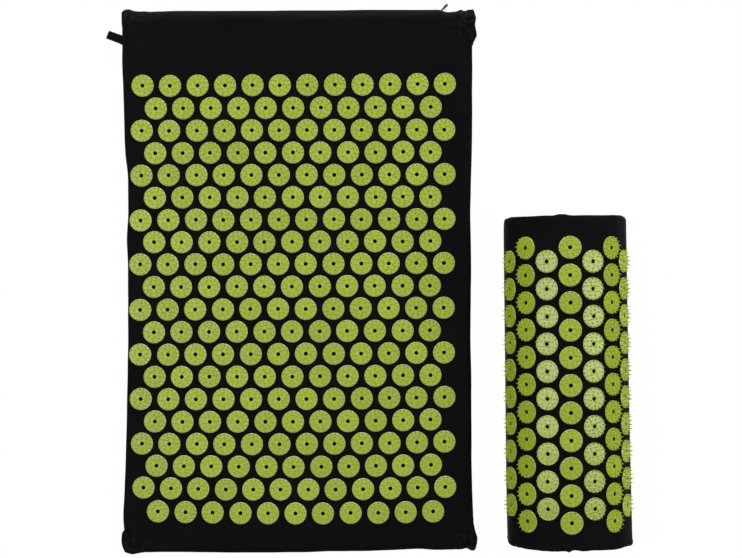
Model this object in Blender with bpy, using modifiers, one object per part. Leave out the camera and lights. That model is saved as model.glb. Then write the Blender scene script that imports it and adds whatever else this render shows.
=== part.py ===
"""Acupressure mat with its half-round neck pillow, for Blender 4.5.

Metres, +Z up. The origin is the middle of the mat's underside, +Y points to the mat's head end, where
its zip is, and the pillow lies beside the mat on +X.
"""

import math

import bmesh
import bpy
from mathutils import Matrix, Vector

# Cloth, foam and the clearance between neighbouring pieces
CLOTH = 0.0008
GAP = 0.0003
OVERRUN = 0.002

# Mat: a foam slab in a cover of two panels, drawn in along its long sides, with small ears at the corners
MAT_LENGTH = 0.654
MAT_WIDTH = 0.414
MAT_THICKNESS = 0.022
MAT_SEAM_HEIGHT = 0.0105
MAT_CORNER_RADIUS = 0.015
MAT_TOP_ROLL = 0.006
MAT_BOTTOM_ROLL = 0.004
MAT_LEFT_FLARE = 0.007
MAT_RIGHT_FLARE = 0.004
MAT_EAR = 0.002
EAR_START_SHARE = 0.88
SIDE_STEPS = 10
END_STEP_SHARES = (-0.94, -0.88, 0, 0.88, 0.94)
CORNER_STEPS = 3
TOP_ROLL_STEPS = 3
BOTTOM_ROLL_STEPS = 2

# Spiked rosettes: a crown of spikes on a round plate, dished to a hollow in the middle
ROSETTE_DIAMETER = 0.0266
ROSETTE_SPIKES = 10
SPIKE_CIRCLE = 0.0238
SPIKE_HEIGHT = 0.005
ROSETTE_HOLLOW = 0.0012
LINK_HEIGHT = 0.0008

# The mat's field of rosettes, sewn on slightly out of square: as many rows as fit between the margins,
# bowed sideways a little from head to foot as the cover is
HEAD_MARGIN = 0.0921
FOOT_MARGIN = 0.0495
ROW_PITCH = 0.02697
ROW_COUNT = round((MAT_LENGTH - HEAD_MARGIN - FOOT_MARGIN) / ROW_PITCH) + 1
SIDE_MARGIN = 0.0245
ROSETTE_PITCH = 0.03318
LONG_ROW = round((MAT_WIDTH - 2 * SIDE_MARGIN) / ROSETTE_PITCH) + 1
SHORT_ROW = LONG_ROW - 1
FIELD_OFFSET_X = -0.007
FIELD_OFFSET_Y = MAT_LENGTH / 2 - HEAD_MARGIN - (ROW_COUNT - 1) * ROW_PITCH / 2
FIELD_TURN = math.radians(0.31)
FIELD_BOW = 0.003
BOW_MEAN_SHARE = 1 / 3

# Zip: chain between two folded tapes, set back in a window of the cover's wall
ZIP_RECESS = 0.006
CHAIN_WIDTH = 0.005
CHAIN_PROUD = 0.0012
ZIP_WINDOW = 0.012
TAPE_TAIL = 0.007
STOP_LENGTH = 0.003
STOP_PROUD = 0.0018
SLIDER_LENGTH = 0.009
SLIDER_WIDTH = 0.0084
SLIDER_TAIL_WIDTH = 0.0070
SLIDER_PLATE = 0.0008
CROWN_LENGTH = 0.006
CROWN_WIDTH = 0.0016
CROWN_BAR = 0.0008
CROWN_OPENING = 0.0026
PULL_LENGTH = 0.0130
PULL_WIDTH = 0.005
PULL_THICKNESS = 0.0016
PULL_TIP_SHARES = ((0.80, 0.5), (1, 0.36), (1, -0.36), (0.80, -0.5))
MAT_PULL_REST_TURN = math.radians(45)
PILLOW_PULL_REST_TURN = math.radians(175)
MAT_ZIP_END_MARGIN = 0.0218
MAT_ZIP_LENGTH = MAT_WIDTH - 2 * MAT_ZIP_END_MARGIN

# Webbing tab in the mat's left seam
TAB_FROM_HEAD = 0.0375
TAB_PLACE = MAT_LENGTH / 2 - TAB_FROM_HEAD
TAB_LENGTH = 0.0205
TAB_WIDTH = 0.010
TAB_THICKNESS = 0.002
TAB_SLANT = math.radians(21)
TAB_ROOT_STEPS = 6

# Pillow: half-round foam whose low side walls draw in to its base, in a cover with a flat panel at each end
PILLOW_LENGTH = 0.390
PILLOW_RADIUS = 0.0745
PILLOW_HEIGHT = 0.100
PILLOW_BASE_WIDTH = 0.141
PILLOW_WALL_TOP = 0.036
PILLOW_PLACE_X = 0.3216
PILLOW_PLACE_Y = -0.1195
PILLOW_TURN = math.radians(0.6)
COLUMN_ANGLE = math.radians(20.9)
COLUMN_OFFSET_ANGLE = math.radians(-2)
COLUMN_COUNT = 7
COLUMN_PITCH = 0.032
COLUMN_OFFSET_Y = -0.0025
COLUMN_END_MARGIN = 0.035
LONG_COLUMN = round((PILLOW_LENGTH - 2 * COLUMN_END_MARGIN) / COLUMN_PITCH) + 1
SHORT_COLUMN = LONG_COLUMN - 1
PILLOW_ZIP_END_MARGIN = 0.030
PILLOW_ZIP_LENGTH = PILLOW_LENGTH - 2 * PILLOW_ZIP_END_MARGIN
PILLOW_ZIP_HEIGHT = 0.012

# Colours, linear, as the photograph shows them
BLACK_COTTON = (0.0065, 0.0065, 0.0070, 1)
GREY_FOAM = (0.10, 0.10, 0.10, 1)
LIME_PLASTIC = (0.33, 0.41, 0.052, 1)
BLACK_COIL = (0.010, 0.010, 0.010, 1)
DARK_METAL = (0.055, 0.055, 0.058, 1)
STEEL = (0.42, 0.42, 0.43, 1)
BLACK_WEBBING = (0.008, 0.008, 0.008, 1)


def clear_scene():
    for old in list(bpy.data.objects):
        bpy.data.objects.remove(old, do_unlink=True)


def new_collection(name):
    collection = bpy.data.collections.new(name)
    bpy.context.scene.collection.children.link(collection)
    return collection


def add_object(name, mesh, collection, parent=None):
    obj = bpy.data.objects.new(name, mesh)
    obj.parent = parent
    collection.objects.link(obj)
    return obj


def add_piece(name, mesh, finish, parent=None):
    """One named sub-part with its own material."""
    colour, roughness, metallic = finish
    material = bpy.data.materials.new(name)
    material.use_nodes = True
    shader = material.node_tree.nodes["Principled BSDF"]
    shader.inputs["Base Color"].default_value = colour
    shader.inputs["Roughness"].default_value = roughness
    shader.inputs["Metallic"].default_value = metallic
    mesh.materials.append(material)
    return add_object(name, mesh, PARTS, parent)


def add_frame(name, place, turn=0, lean=0, parent=None):
    """An empty that carries pieces modelled in its own axes."""
    frame = add_object(name, None, PARTS, parent)
    frame.location = place
    frame.rotation_euler = (lean, 0, turn)
    return frame


def box_mesh(name, low, high):
    low, high = Vector(low), Vector(high)
    bm = bmesh.new()
    scale = Matrix.Diagonal((high - low).to_4d())
    bmesh.ops.create_cube(bm, size=1, matrix=Matrix.Translation((low + high) / 2) @ scale)
    mesh = bpy.data.meshes.new(name)
    bm.to_mesh(mesh)
    bm.free()
    return mesh


def outline_mesh(name, outlines, thickness):
    """Flat outlines in XY, the first one outside and the others holes, made thick along Z."""
    curve = bpy.data.curves.new(name, "CURVE")
    curve.dimensions = "2D"
    curve.fill_mode = "BOTH"
    curve.extrude = thickness / 2
    for outline in outlines:
        spline = curve.splines.new("POLY")
        spline.points.add(len(outline) - 1)
        for point, (x, y) in zip(spline.points, outline):
            point.co = (x, y, 0, 1)
        spline.use_cyclic_u = True
    guide = bpy.data.objects.new(name, curve)
    bpy.context.scene.collection.objects.link(guide)
    graph = bpy.context.evaluated_depsgraph_get()
    mesh = bpy.data.meshes.new_from_object(guide.evaluated_get(graph))
    bpy.data.objects.remove(guide, do_unlink=True)
    bm = bmesh.new()
    bm.from_mesh(mesh)
    bmesh.ops.remove_doubles(bm, verts=bm.verts, dist=CLOTH / 100)
    bmesh.ops.recalc_face_normals(bm, faces=bm.faces)
    bm.to_mesh(mesh)
    bm.free()
    return mesh


def add_cutter(name, mesh, parent=None):
    cutter = add_object(name, mesh, CUTTERS, parent)
    cutter.hide_render = True
    cutter.display_type = "WIRE"
    return cutter


def apply_boolean(obj, tool, operation):
    modifier = obj.modifiers.new(tool.name, "BOOLEAN")
    modifier.operation = operation
    modifier.solver = "EXACT"
    modifier.object = tool


def drawn(x, y):
    """Moves a point of the mat's plan outwards where the cover flares to its corners."""
    along = abs(y) / (MAT_LENGTH / 2)
    across = abs(x) / (MAT_WIDTH / 2)
    flare = (MAT_RIGHT_FLARE if x > 0 else MAT_LEFT_FLARE) * along**2
    ear = MAT_EAR * max(0, (across - EAR_START_SHARE) / (1 - EAR_START_SHARE)) ** 2
    return x * (1 + flare / (MAT_WIDTH / 2)), y * (1 + ear / (MAT_LENGTH / 2))


def mat_ring(inset):
    """The mat's plan outline, moved in by inset, anticlockwise from the foot of the right side."""
    half_x = MAT_WIDTH / 2 - inset
    half_y = MAT_LENGTH / 2 - inset
    radius = MAT_CORNER_RADIUS - inset
    straight_x, straight_y = half_x - radius, half_y - radius
    side_shares = [2 * step / SIDE_STEPS - 1 for step in range(1, SIDE_STEPS)]
    quarter = [math.pi / 2 * step / CORNER_STEPS for step in range(CORNER_STEPS + 1)]

    def corner(sign_x, sign_y, start):
        return [
            (
                sign_x * straight_x + radius * math.cos(start + angle),
                sign_y * straight_y + radius * math.sin(start + angle),
            )
            for angle in quarter
        ]

    points = [(half_x, share * straight_y) for share in side_shares]
    points += corner(1, 1, 0)
    points += [(-share * straight_x, half_y) for share in END_STEP_SHARES]
    points += corner(-1, 1, math.pi / 2)
    points += [(-half_x, -share * straight_y) for share in side_shares]
    points += corner(-1, -1, math.pi)
    points += [(share * straight_x, -half_y) for share in END_STEP_SHARES]
    points += corner(1, -1, 3 * math.pi / 2)
    return [drawn(x, y) for x, y in points]


def roll(radius, inset, steps, centre_height, upward):
    """A quarter round between the wall and a flat face, as (inset, height), from the wall inwards."""
    size = radius - inset
    turns = [math.pi / 2 * step / steps for step in range(steps + 1)]
    sign = 1 if upward else -1
    return [(radius - size * math.cos(turn), centre_height + sign * size * math.sin(turn)) for turn in turns]


def top_roll(inset):
    return roll(MAT_TOP_ROLL, inset, TOP_ROLL_STEPS, MAT_THICKNESS - MAT_TOP_ROLL, True)


def bottom_roll(inset):
    return roll(MAT_BOTTOM_ROLL, inset, BOTTOM_ROLL_STEPS, MAT_BOTTOM_ROLL, False)


def ring_loft(name, sections, first_cap, last_cap):
    """A surface through the mat's outline at each (inset, height)."""
    bm = bmesh.new()
    rings = []
    for inset, height in sections:
        rings.append([bm.verts.new((x, y, height)) for x, y in mat_ring(inset)])
    for lower, upper in zip(rings, rings[1:]):
        for i in range(len(lower)):
            j = (i + 1) % len(lower)
            bm.faces.new((lower[i], lower[j], upper[j], upper[i]))
    if first_cap:
        bm.faces.new(list(reversed(rings[0])))
    if last_cap:
        bm.faces.new(rings[-1])
    mesh = bpy.data.meshes.new(name)
    bm.to_mesh(mesh)
    bm.free()
    return mesh


def add_panel(name, sections, first_cap, last_cap):
    """A cover panel: an open surface given the cloth's thickness inwards."""
    panel = add_piece(name, ring_loft(name, sections, first_cap, last_cap), COTTON)
    shell = panel.modifiers.new("cloth", "SOLIDIFY")
    shell.thickness = CLOTH
    shell.offset = -1
    shell.use_even_offset = True
    return panel


def make_mat_cover():
    seam_low = (0, MAT_SEAM_HEIGHT - GAP / 2)
    seam_high = (0, MAT_SEAM_HEIGHT + GAP / 2)
    bottom_sections = list(reversed(bottom_roll(0))) + [seam_low]
    top_sections = [seam_high] + top_roll(0)
    bottom = add_panel("mat_bottom_panel", bottom_sections, True, False)
    top = add_panel("mat_top_panel", top_sections, False, True)
    return top, bottom


def make_mat_foam():
    inset = CLOTH + GAP
    sections = list(reversed(bottom_roll(inset))) + top_roll(inset)
    return add_piece("mat_foam_core", ring_loft("mat_foam_core", sections, True, True), FOAM)


def rosette_points(bm, x):
    """One crown: its base corners, its spike tips between them, and its hollow."""
    step = 2 * math.pi / ROSETTE_SPIKES
    base_radius = ROSETTE_DIAMETER / 2
    tip_radius = SPIKE_CIRCLE / 2
    base, tips = [], []
    for i in range(ROSETTE_SPIKES):
        base_angle = step * (i + 0.5)
        tip_angle = step * i
        base_place = (x + base_radius * math.cos(base_angle), base_radius * math.sin(base_angle), 0)
        tip_place = (x + tip_radius * math.cos(tip_angle), tip_radius * math.sin(tip_angle), SPIKE_HEIGHT)
        base.append(bm.verts.new(base_place))
        tips.append(bm.verts.new(tip_place))
    hollow = bm.verts.new((x, 0, ROSETTE_HOLLOW))
    return base, tips, hollow


def link_corner(bm, base, tips, i):
    """The point on a crown's outer face where the thin link to the next crown starts."""
    foot = (base[i - 1].co + base[i].co) / 2
    return bm.verts.new(foot.lerp(tips[i].co, LINK_HEIGHT / SPIKE_HEIGHT))


def rosette_strip(name, count, pitch):
    """A row of crowns along X, joined at their feet by thin links into one body."""
    bm = bmesh.new()
    opposite = ROSETTE_SPIKES // 2
    previous = None
    for number in range(count):
        base, tips, hollow = rosette_points(bm, (number - (count - 1) / 2) * pitch)
        linked = {}
        if number > 0:
            linked[opposite] = link_corner(bm, base, tips, opposite)
        if number < count - 1:
            linked[0] = link_corner(bm, base, tips, 0)
        bm.faces.new(list(reversed(base)))
        for i in range(ROSETTE_SPIKES):
            after = (i + 1) % ROSETTE_SPIKES
            bm.faces.new((base[i], tips[after], tips[i]))
            bm.faces.new((tips[i], tips[after], hollow))
            if i in linked:
                bm.faces.new((base[i], tips[i], linked[i]))
                bm.faces.new((tips[i], base[i - 1], linked[i]))
            else:
                bm.faces.new((base[i - 1], base[i], tips[i]))
        if previous:
            near_low, near_high, near_top = previous
            far_high, far_low, far_top = base[opposite - 1], base[opposite], linked[opposite]
            bm.faces.new((near_low, near_high, far_high, far_low))
            bm.faces.new((near_high, near_top, far_top, far_high))
            bm.faces.new((near_top, near_low, far_low, far_top))
        previous = (base[-1], base[0], linked.get(0))
    bmesh.ops.recalc_face_normals(bm, faces=bm.faces)
    mesh = bpy.data.meshes.new(name)
    bm.to_mesh(mesh)
    bm.free()
    return mesh


def make_mat_rosettes():
    field = add_frame("mat_field", (FIELD_OFFSET_X, FIELD_OFFSET_Y, MAT_THICKNESS + GAP), FIELD_TURN)
    for row in range(ROW_COUNT):
        name = f"mat_rosette_row_{row + 1:02d}"
        count = SHORT_ROW if row % 2 else LONG_ROW
        strip = add_piece(name, rosette_strip(name, count, ROSETTE_PITCH), ROSETTE, field)
        share = 1 - 2 * row / (ROW_COUNT - 1)
        strip.location = (FIELD_BOW * (share**2 - BOW_MEAN_SHARE), share * (ROW_COUNT - 1) * ROW_PITCH / 2, 0)


def folded_tape(name, length, side):
    """One tape of the zip: flat beside the chain, then folded out to the window's edge in the wall."""
    near = side * (CHAIN_WIDTH / 2 + GAP)
    fold = side * (ZIP_WINDOW / 2 - GAP - CLOTH)
    edge = side * (ZIP_WINDOW / 2 - GAP)
    section = [
        (-ZIP_RECESS - CLOTH, near),
        (-ZIP_RECESS, near),
        (-ZIP_RECESS, fold),
        (0, fold),
        (0, edge),
        (-ZIP_RECESS - CLOTH, edge),
    ]
    mesh = outline_mesh(name, [section], length)
    mesh.transform(Matrix.Rotation(math.pi / 2, 4, "Z") @ Matrix.Rotation(math.pi / 2, 4, "X"))
    return mesh


def make_zip(prefix, frame, length, rest_turn, panels, foam):
    """A closed zip along the frame's X, set back behind a wall that faces the frame's +Y."""
    half = length / 2
    stop_end = half - TAPE_TAIL
    chain_half = stop_end - STOP_LENGTH - GAP
    back = -ZIP_RECESS - CLOTH
    opening = ZIP_WINDOW / 2
    window = box_mesh(
        prefix + "_window", (-half - GAP, -CLOTH - OVERRUN, -opening), (half + GAP, OVERRUN, opening)
    )
    window_cutter = add_cutter(prefix + "_window", window, frame)
    for panel in panels:
        apply_boolean(panel, window_cutter, "DIFFERENCE")
    pocket = box_mesh(prefix + "_pocket", (-half - GAP, back - GAP, -opening), (half + GAP, OVERRUN, opening))
    apply_boolean(foam, add_cutter(prefix + "_pocket", pocket, frame), "DIFFERENCE")

    for name, side in ((prefix + "_upper_tape", 1), (prefix + "_lower_tape", -1)):
        add_piece(name, folded_tape(name, length, side), TAPE, frame)

    chain = box_mesh(
        prefix + "_chain",
        (-chain_half, back, -CHAIN_WIDTH / 2),
        (chain_half, CHAIN_PROUD - ZIP_RECESS, CHAIN_WIDTH / 2),
    )
    add_piece(prefix + "_chain", chain, COIL, frame)
    for side, end in (("start", -1), ("end", 1)):
        name = f"{prefix}_stop_{side}"
        inner, outer = sorted((end * (chain_half + GAP), end * stop_end))
        low = (inner, back, -CHAIN_WIDTH / 2)
        high = (outer, STOP_PROUD - ZIP_RECESS, CHAIN_WIDTH / 2)
        add_piece(name, box_mesh(name, low, high), METAL, frame)

    place = (chain_half - SLIDER_LENGTH / 2, -ZIP_RECESS, 0)
    carriage = add_frame(prefix + "_carriage", place, parent=frame)
    make_slider(prefix + "_slider", carriage)
    make_pull(prefix + "_pull", carriage, rest_turn)


def make_slider(name, carriage):
    """A shield-shaped body that straddles the chain, with a bridge on its face for the pull."""
    back = GAP
    channel_top = CHAIN_PROUD + GAP
    face = channel_top + SLIDER_PLATE
    nose, tail = -SLIDER_LENGTH / 2, SLIDER_LENGTH / 2
    shield = [
        (nose, -SLIDER_WIDTH / 2),
        (nose / 3, -SLIDER_WIDTH / 2),
        (tail, -SLIDER_TAIL_WIDTH / 2),
        (tail, SLIDER_TAIL_WIDTH / 2),
        (nose / 3, SLIDER_WIDTH / 2),
        (nose, SLIDER_WIDTH / 2),
    ]
    body_mesh = outline_mesh(name, [shield], face - back)
    body_mesh.transform(Matrix.Rotation(math.pi / 2, 4, "X"))
    body_mesh.transform(Matrix.Translation((0, (face + back) / 2, 0)))
    slider = add_piece(name, body_mesh, METAL, carriage)

    channel = box_mesh(
        name + "_channel",
        (nose - OVERRUN, -OVERRUN, -CHAIN_WIDTH / 2 - GAP),
        (tail + OVERRUN, channel_top, CHAIN_WIDTH / 2 + GAP),
    )
    apply_boolean(slider, add_cutter(name + "_channel", channel, carriage), "DIFFERENCE")

    root = SLIDER_PLATE / 2
    half, inner = CROWN_LENGTH / 2, CROWN_LENGTH / 2 - CROWN_BAR
    shoulder = CROWN_OPENING + CROWN_BAR / 2
    bridge = [
        (-half, -root),
        (-inner, -root),
        (-inner, CROWN_OPENING),
        (inner, CROWN_OPENING),
        (inner, -root),
        (half, -root),
        (half, shoulder),
        (inner, CROWN_OPENING + CROWN_BAR),
        (-inner, CROWN_OPENING + CROWN_BAR),
        (-half, shoulder),
    ]
    bridge_mesh = outline_mesh(name + "_bridge", [bridge], CROWN_WIDTH)
    bridge_mesh.transform(Matrix.Translation((0, face, 0)))
    apply_boolean(slider, add_cutter(name + "_bridge", bridge_mesh, carriage), "UNION")


def pull_axis_height():
    """How far the pull's axis stands off the tapes."""
    return CHAIN_PROUD + GAP + SLIDER_PLATE + CROWN_OPENING / 2


def make_pull(name, carriage, rest_turn):
    """A flat tab whose end bar turns under the slider's bridge."""
    half_bar = PULL_THICKNESS / 2
    eye = CROWN_LENGTH / 2 + GAP * 2
    slot_half = CROWN_WIDTH / 2 + GAP
    outside = [(-half_bar, PULL_WIDTH / 2)]
    outside += [(PULL_LENGTH * along, PULL_WIDTH * across) for along, across in PULL_TIP_SHARES]
    outside += [(-half_bar, -PULL_WIDTH / 2)]
    slot = [(half_bar, -slot_half), (eye, -slot_half), (eye, slot_half), (half_bar, slot_half)]
    mesh = outline_mesh(name, [outside, slot], PULL_THICKNESS)
    mesh.transform(Matrix.Rotation(math.pi / 2, 4, "X"))
    pull = add_piece(name, mesh, STEEL_FINISH, carriage)
    pull.location = (0, pull_axis_height(), 0)
    pull.rotation_euler = (0, 0, rest_turn)


def tab_root():
    """Where the webbing tab's hinge line lies: clear of the mat's flared left side."""
    widest = max(-drawn(-MAT_WIDTH / 2, TAB_PLACE + reach)[0] for reach in (-TAB_WIDTH, TAB_WIDTH))
    return Vector((-widest - GAP - TAB_THICKNESS / 2, TAB_PLACE, MAT_SEAM_HEIGHT))


def make_side_tab():
    """Folded webbing, rounded where it turns at the seam, slanting up towards the head end."""
    radius = TAB_THICKNESS / 2
    side_view = [(-TAB_LENGTH, -radius)]
    for step in range(TAB_ROOT_STEPS + 1):
        angle = math.pi * step / TAB_ROOT_STEPS - math.pi / 2
        side_view.append((radius * math.cos(angle), radius * math.sin(angle)))
    side_view.append((-TAB_LENGTH, radius))
    mesh = outline_mesh("mat_side_tab", [side_view], TAB_WIDTH)
    mesh.transform(Matrix.Rotation(math.pi / 2, 4, "X"))
    along = Vector((-math.cos(TAB_SLANT), math.sin(TAB_SLANT), 0))
    across = Vector((math.sin(TAB_SLANT), math.cos(TAB_SLANT), 0))
    for vertex in mesh.vertices:
        x, y, z = vertex.co
        share = max(0, -x / TAB_LENGTH)
        root = Vector((max(0, x), y / math.cos(TAB_SLANT), 0))
        end = along * TAB_LENGTH + across * y
        vertex.co = root.lerp(end, share) + Vector((0, 0, z))
    tab = add_piece("mat_side_tab", mesh, WEBBING)
    tab.location = tab_root()


def pillow_wall(height):
    """How far the pillow's low side wall stands from its middle at a height."""
    share = height / PILLOW_WALL_TOP
    return PILLOW_BASE_WIDTH / 2 * (1 - share) + PILLOW_RADIUS * share


def pillow_wall_lean():
    return math.atan2(PILLOW_RADIUS - PILLOW_BASE_WIDTH / 2, PILLOW_WALL_TOP)


def pillow_arch(height):
    """The pillow's section in XZ from its right wall at a height over the top to the left wall, with a
    flat for each rosette column on the round part."""
    centre = PILLOW_HEIGHT - PILLOW_RADIUS
    corner_radius = PILLOW_RADIUS / math.cos(COLUMN_ANGLE / 2)
    points = [(pillow_wall(height), height), (PILLOW_RADIUS, PILLOW_WALL_TOP)]
    for corner in range(COLUMN_COUNT + 1):
        angle = COLUMN_OFFSET_ANGLE + (COLUMN_COUNT / 2 - corner) * COLUMN_ANGLE
        points.append((corner_radius * math.sin(angle), centre + corner_radius * math.cos(angle)))
    points += [(-PILLOW_RADIUS, PILLOW_WALL_TOP), (-pillow_wall(height), height)]
    return points


def inner_path(path, distance):
    """An open path moved to its left by distance, with mitred corners and square ends."""
    points = [Vector(point) for point in path]
    normals = []
    for start, end in zip(points, points[1:]):
        direction = (end - start).normalized()
        normals.append(Vector((-direction.y, direction.x)))
    moved = []
    for i, point in enumerate(points):
        before = normals[max(0, i - 1)]
        after = normals[min(i, len(normals) - 1)]
        mitre = (before + after).normalized()
        moved.append(tuple(point + mitre * (distance / mitre.dot(after))))
    return moved


def along_pillow(mesh, place=0):
    """Stands a section drawn in XY up in XZ, so that its thickness runs along the pillow."""
    mesh.transform(Matrix.Rotation(math.pi / 2, 4, "X"))
    mesh.transform(Matrix.Translation((0, place, 0)))
    return mesh


def make_pillow(frame):
    inner_length = PILLOW_LENGTH - 2 * (CLOTH + GAP)
    arch = pillow_arch(CLOTH + GAP)
    arch_strip = arch + list(reversed(inner_path(arch, CLOTH)))
    top_mesh = along_pillow(outline_mesh("pillow_top_panel", [arch_strip], inner_length))
    top = add_piece("pillow_top_panel", top_mesh, COTTON, frame)

    foam_outline = inner_path(arch, CLOTH + GAP)
    foam_mesh = along_pillow(outline_mesh("pillow_foam_core", [foam_outline], inner_length - 2 * GAP))
    foam = add_piece("pillow_foam_core", foam_mesh, FOAM, frame)

    base_mesh = box_mesh(
        "pillow_base_panel",
        (-PILLOW_BASE_WIDTH / 2, -inner_length / 2, 0),
        (PILLOW_BASE_WIDTH / 2, inner_length / 2, CLOTH),
    )
    add_piece("pillow_base_panel", base_mesh, COTTON, frame)

    for name, side in (("pillow_head_end_panel", 1), ("pillow_foot_end_panel", -1)):
        place = side * (PILLOW_LENGTH - CLOTH) / 2
        end_mesh = along_pillow(outline_mesh(name, [pillow_arch(0)], CLOTH), place)
        add_piece(name, end_mesh, COTTON, frame)
    return top, foam


def make_pillow_rosettes(frame):
    axis_height = PILLOW_HEIGHT - PILLOW_RADIUS
    for column in range(COLUMN_COUNT):
        name = f"pillow_rosette_column_{column + 1}"
        count = LONG_COLUMN if column % 2 else SHORT_COLUMN
        angle = COLUMN_OFFSET_ANGLE + (column - (COLUMN_COUNT - 1) / 2) * COLUMN_ANGLE
        strip = rosette_strip(name, count, COLUMN_PITCH)
        strip.transform(Matrix.Rotation(math.pi / 2, 4, "Z"))
        piece = add_piece(name, strip, ROSETTE, frame)
        reach = PILLOW_RADIUS + GAP
        piece.location = (reach * math.sin(angle), COLUMN_OFFSET_Y, axis_height + reach * math.cos(angle))
        piece.rotation_euler = (0, angle, 0)


clear_scene()
PARTS = new_collection("acupressure_mat_and_pillow")
CUTTERS = new_collection("cutters")

# Finishes: colour, roughness, metallic
COTTON = (BLACK_COTTON, 0.92, 0)
FOAM = (GREY_FOAM, 0.95, 0)
ROSETTE = (LIME_PLASTIC, 0.28, 0)
TAPE = (BLACK_WEBBING, 0.85, 0)
COIL = (BLACK_COIL, 0.45, 0)
METAL = (DARK_METAL, 0.35, 1)
STEEL_FINISH = (STEEL, 0.30, 1)
WEBBING = (BLACK_WEBBING, 0.80, 0)

mat_panels = make_mat_cover()
mat_foam = make_mat_foam()
make_mat_rosettes()
make_side_tab()
mat_zip_frame = add_frame("mat_zip_frame", (0, MAT_LENGTH / 2, MAT_SEAM_HEIGHT))
make_zip("mat_zip", mat_zip_frame, MAT_ZIP_LENGTH, MAT_PULL_REST_TURN, mat_panels, mat_foam)

pillow_frame = add_frame("pillow_frame", (PILLOW_PLACE_X, PILLOW_PLACE_Y, 0), PILLOW_TURN)
pillow_top, pillow_foam = make_pillow(pillow_frame)
make_pillow_rosettes(pillow_frame)
pillow_zip_frame = add_frame(
    "pillow_zip_frame",
    (pillow_wall(PILLOW_ZIP_HEIGHT), 0, PILLOW_ZIP_HEIGHT),
    turn=-math.pi / 2,
    lean=-pillow_wall_lean(),
    parent=pillow_frame,
)
make_zip(
    "pillow_zip", pillow_zip_frame, PILLOW_ZIP_LENGTH, PILLOW_PULL_REST_TURN, [pillow_top], pillow_foam
)
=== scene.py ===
"""Looks of the acupressure mat and its half-round pillow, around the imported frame. Metres, +Z up."""

import math
import random

import bpy
import numpy as np
from mathutils import Matrix, Vector, noise


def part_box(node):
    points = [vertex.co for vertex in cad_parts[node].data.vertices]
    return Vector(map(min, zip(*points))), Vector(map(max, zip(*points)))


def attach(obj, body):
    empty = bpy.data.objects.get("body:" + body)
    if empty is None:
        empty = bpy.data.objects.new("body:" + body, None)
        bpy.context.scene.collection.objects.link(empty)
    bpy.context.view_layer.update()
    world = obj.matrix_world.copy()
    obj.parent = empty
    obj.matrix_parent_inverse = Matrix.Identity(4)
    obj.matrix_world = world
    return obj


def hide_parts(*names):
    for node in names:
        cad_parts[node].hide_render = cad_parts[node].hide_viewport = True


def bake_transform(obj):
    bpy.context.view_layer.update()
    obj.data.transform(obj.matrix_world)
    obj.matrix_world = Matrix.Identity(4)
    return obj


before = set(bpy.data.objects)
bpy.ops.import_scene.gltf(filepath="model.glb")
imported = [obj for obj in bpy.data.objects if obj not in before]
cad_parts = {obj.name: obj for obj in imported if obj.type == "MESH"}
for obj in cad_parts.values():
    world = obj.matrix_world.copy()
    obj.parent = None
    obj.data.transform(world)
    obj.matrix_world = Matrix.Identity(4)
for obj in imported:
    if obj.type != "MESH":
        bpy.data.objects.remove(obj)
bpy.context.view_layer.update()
MM = 0.001

# Cloth, its hems at the zips, how far the filling may press it out, and the clearance between pieces
CLOTH = 0.8 * MM
HEM = 2.4 * MM
MAT_SWELL = 1.0 * MM
PILLOW_SWELL = 1.1 * MM
GAP = 0.3 * MM

# The mat
MAT_TOP = 22 * MM
MAT_SEAM = 10.5 * MM
MAT_HALF_LENGTH = 327 * MM
MAT_HALF_WIDTH = 207 * MM
MAT_CORNER = 15 * MM
CORNER_SQUARENESS = 0.7
MAT_TOP_ROLL = 6 * MM
MAT_BOTTOM_ROLL = 4 * MM
FOAM_INSET = 1.6 * MM
FOAM_FILL = 0.84
FOAM_ZIP_ROOM = 8.5 * MM

# Rosettes
ROSETTE_RADIUS = 13.3 * MM
HOLE_RADIUS = 2.5 * MM
PLATE = 1.5 * MM
SPIKE_HEIGHT = 4.9 * MM
ROSETTE_PITCH = 33.18 * MM
ROSETTE_NUDGE = 0.16 * MM
FIELD_TURN = math.radians(0.31)
ROW_COUNT = 20
LONG_ROW, SHORT_ROW = 12, 11

# Pillow
PILLOW_PLACE = Vector((321.6 * MM, -119.5 * MM, 0))
PILLOW_TURN = math.radians(0.6)
PILLOW_RADIUS = 74.5 * MM
PILLOW_HEIGHT = 100 * MM
PILLOW_AXIS = PILLOW_HEIGHT - PILLOW_RADIUS
PILLOW_HALF_LENGTH = 195 * MM
PILLOW_HALF_BASE = 70.5 * MM
PILLOW_WALL_TOP = 36 * MM
COLUMN_ANGLE = math.radians(20.9)
COLUMN_OFFSET = math.radians(-2)
COLUMN_COUNTS = (10, 11, 10, 11, 10, 11, 10)
COLUMN_PITCH = 32 * MM
COLUMN_SHIFT = -2.5 * MM
COLUMN_TURN = math.radians(-0.27)
PILLOW_FRAME = Matrix.Translation(PILLOW_PLACE) @ Matrix.Rotation(PILLOW_TURN, 4, "Z")

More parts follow.
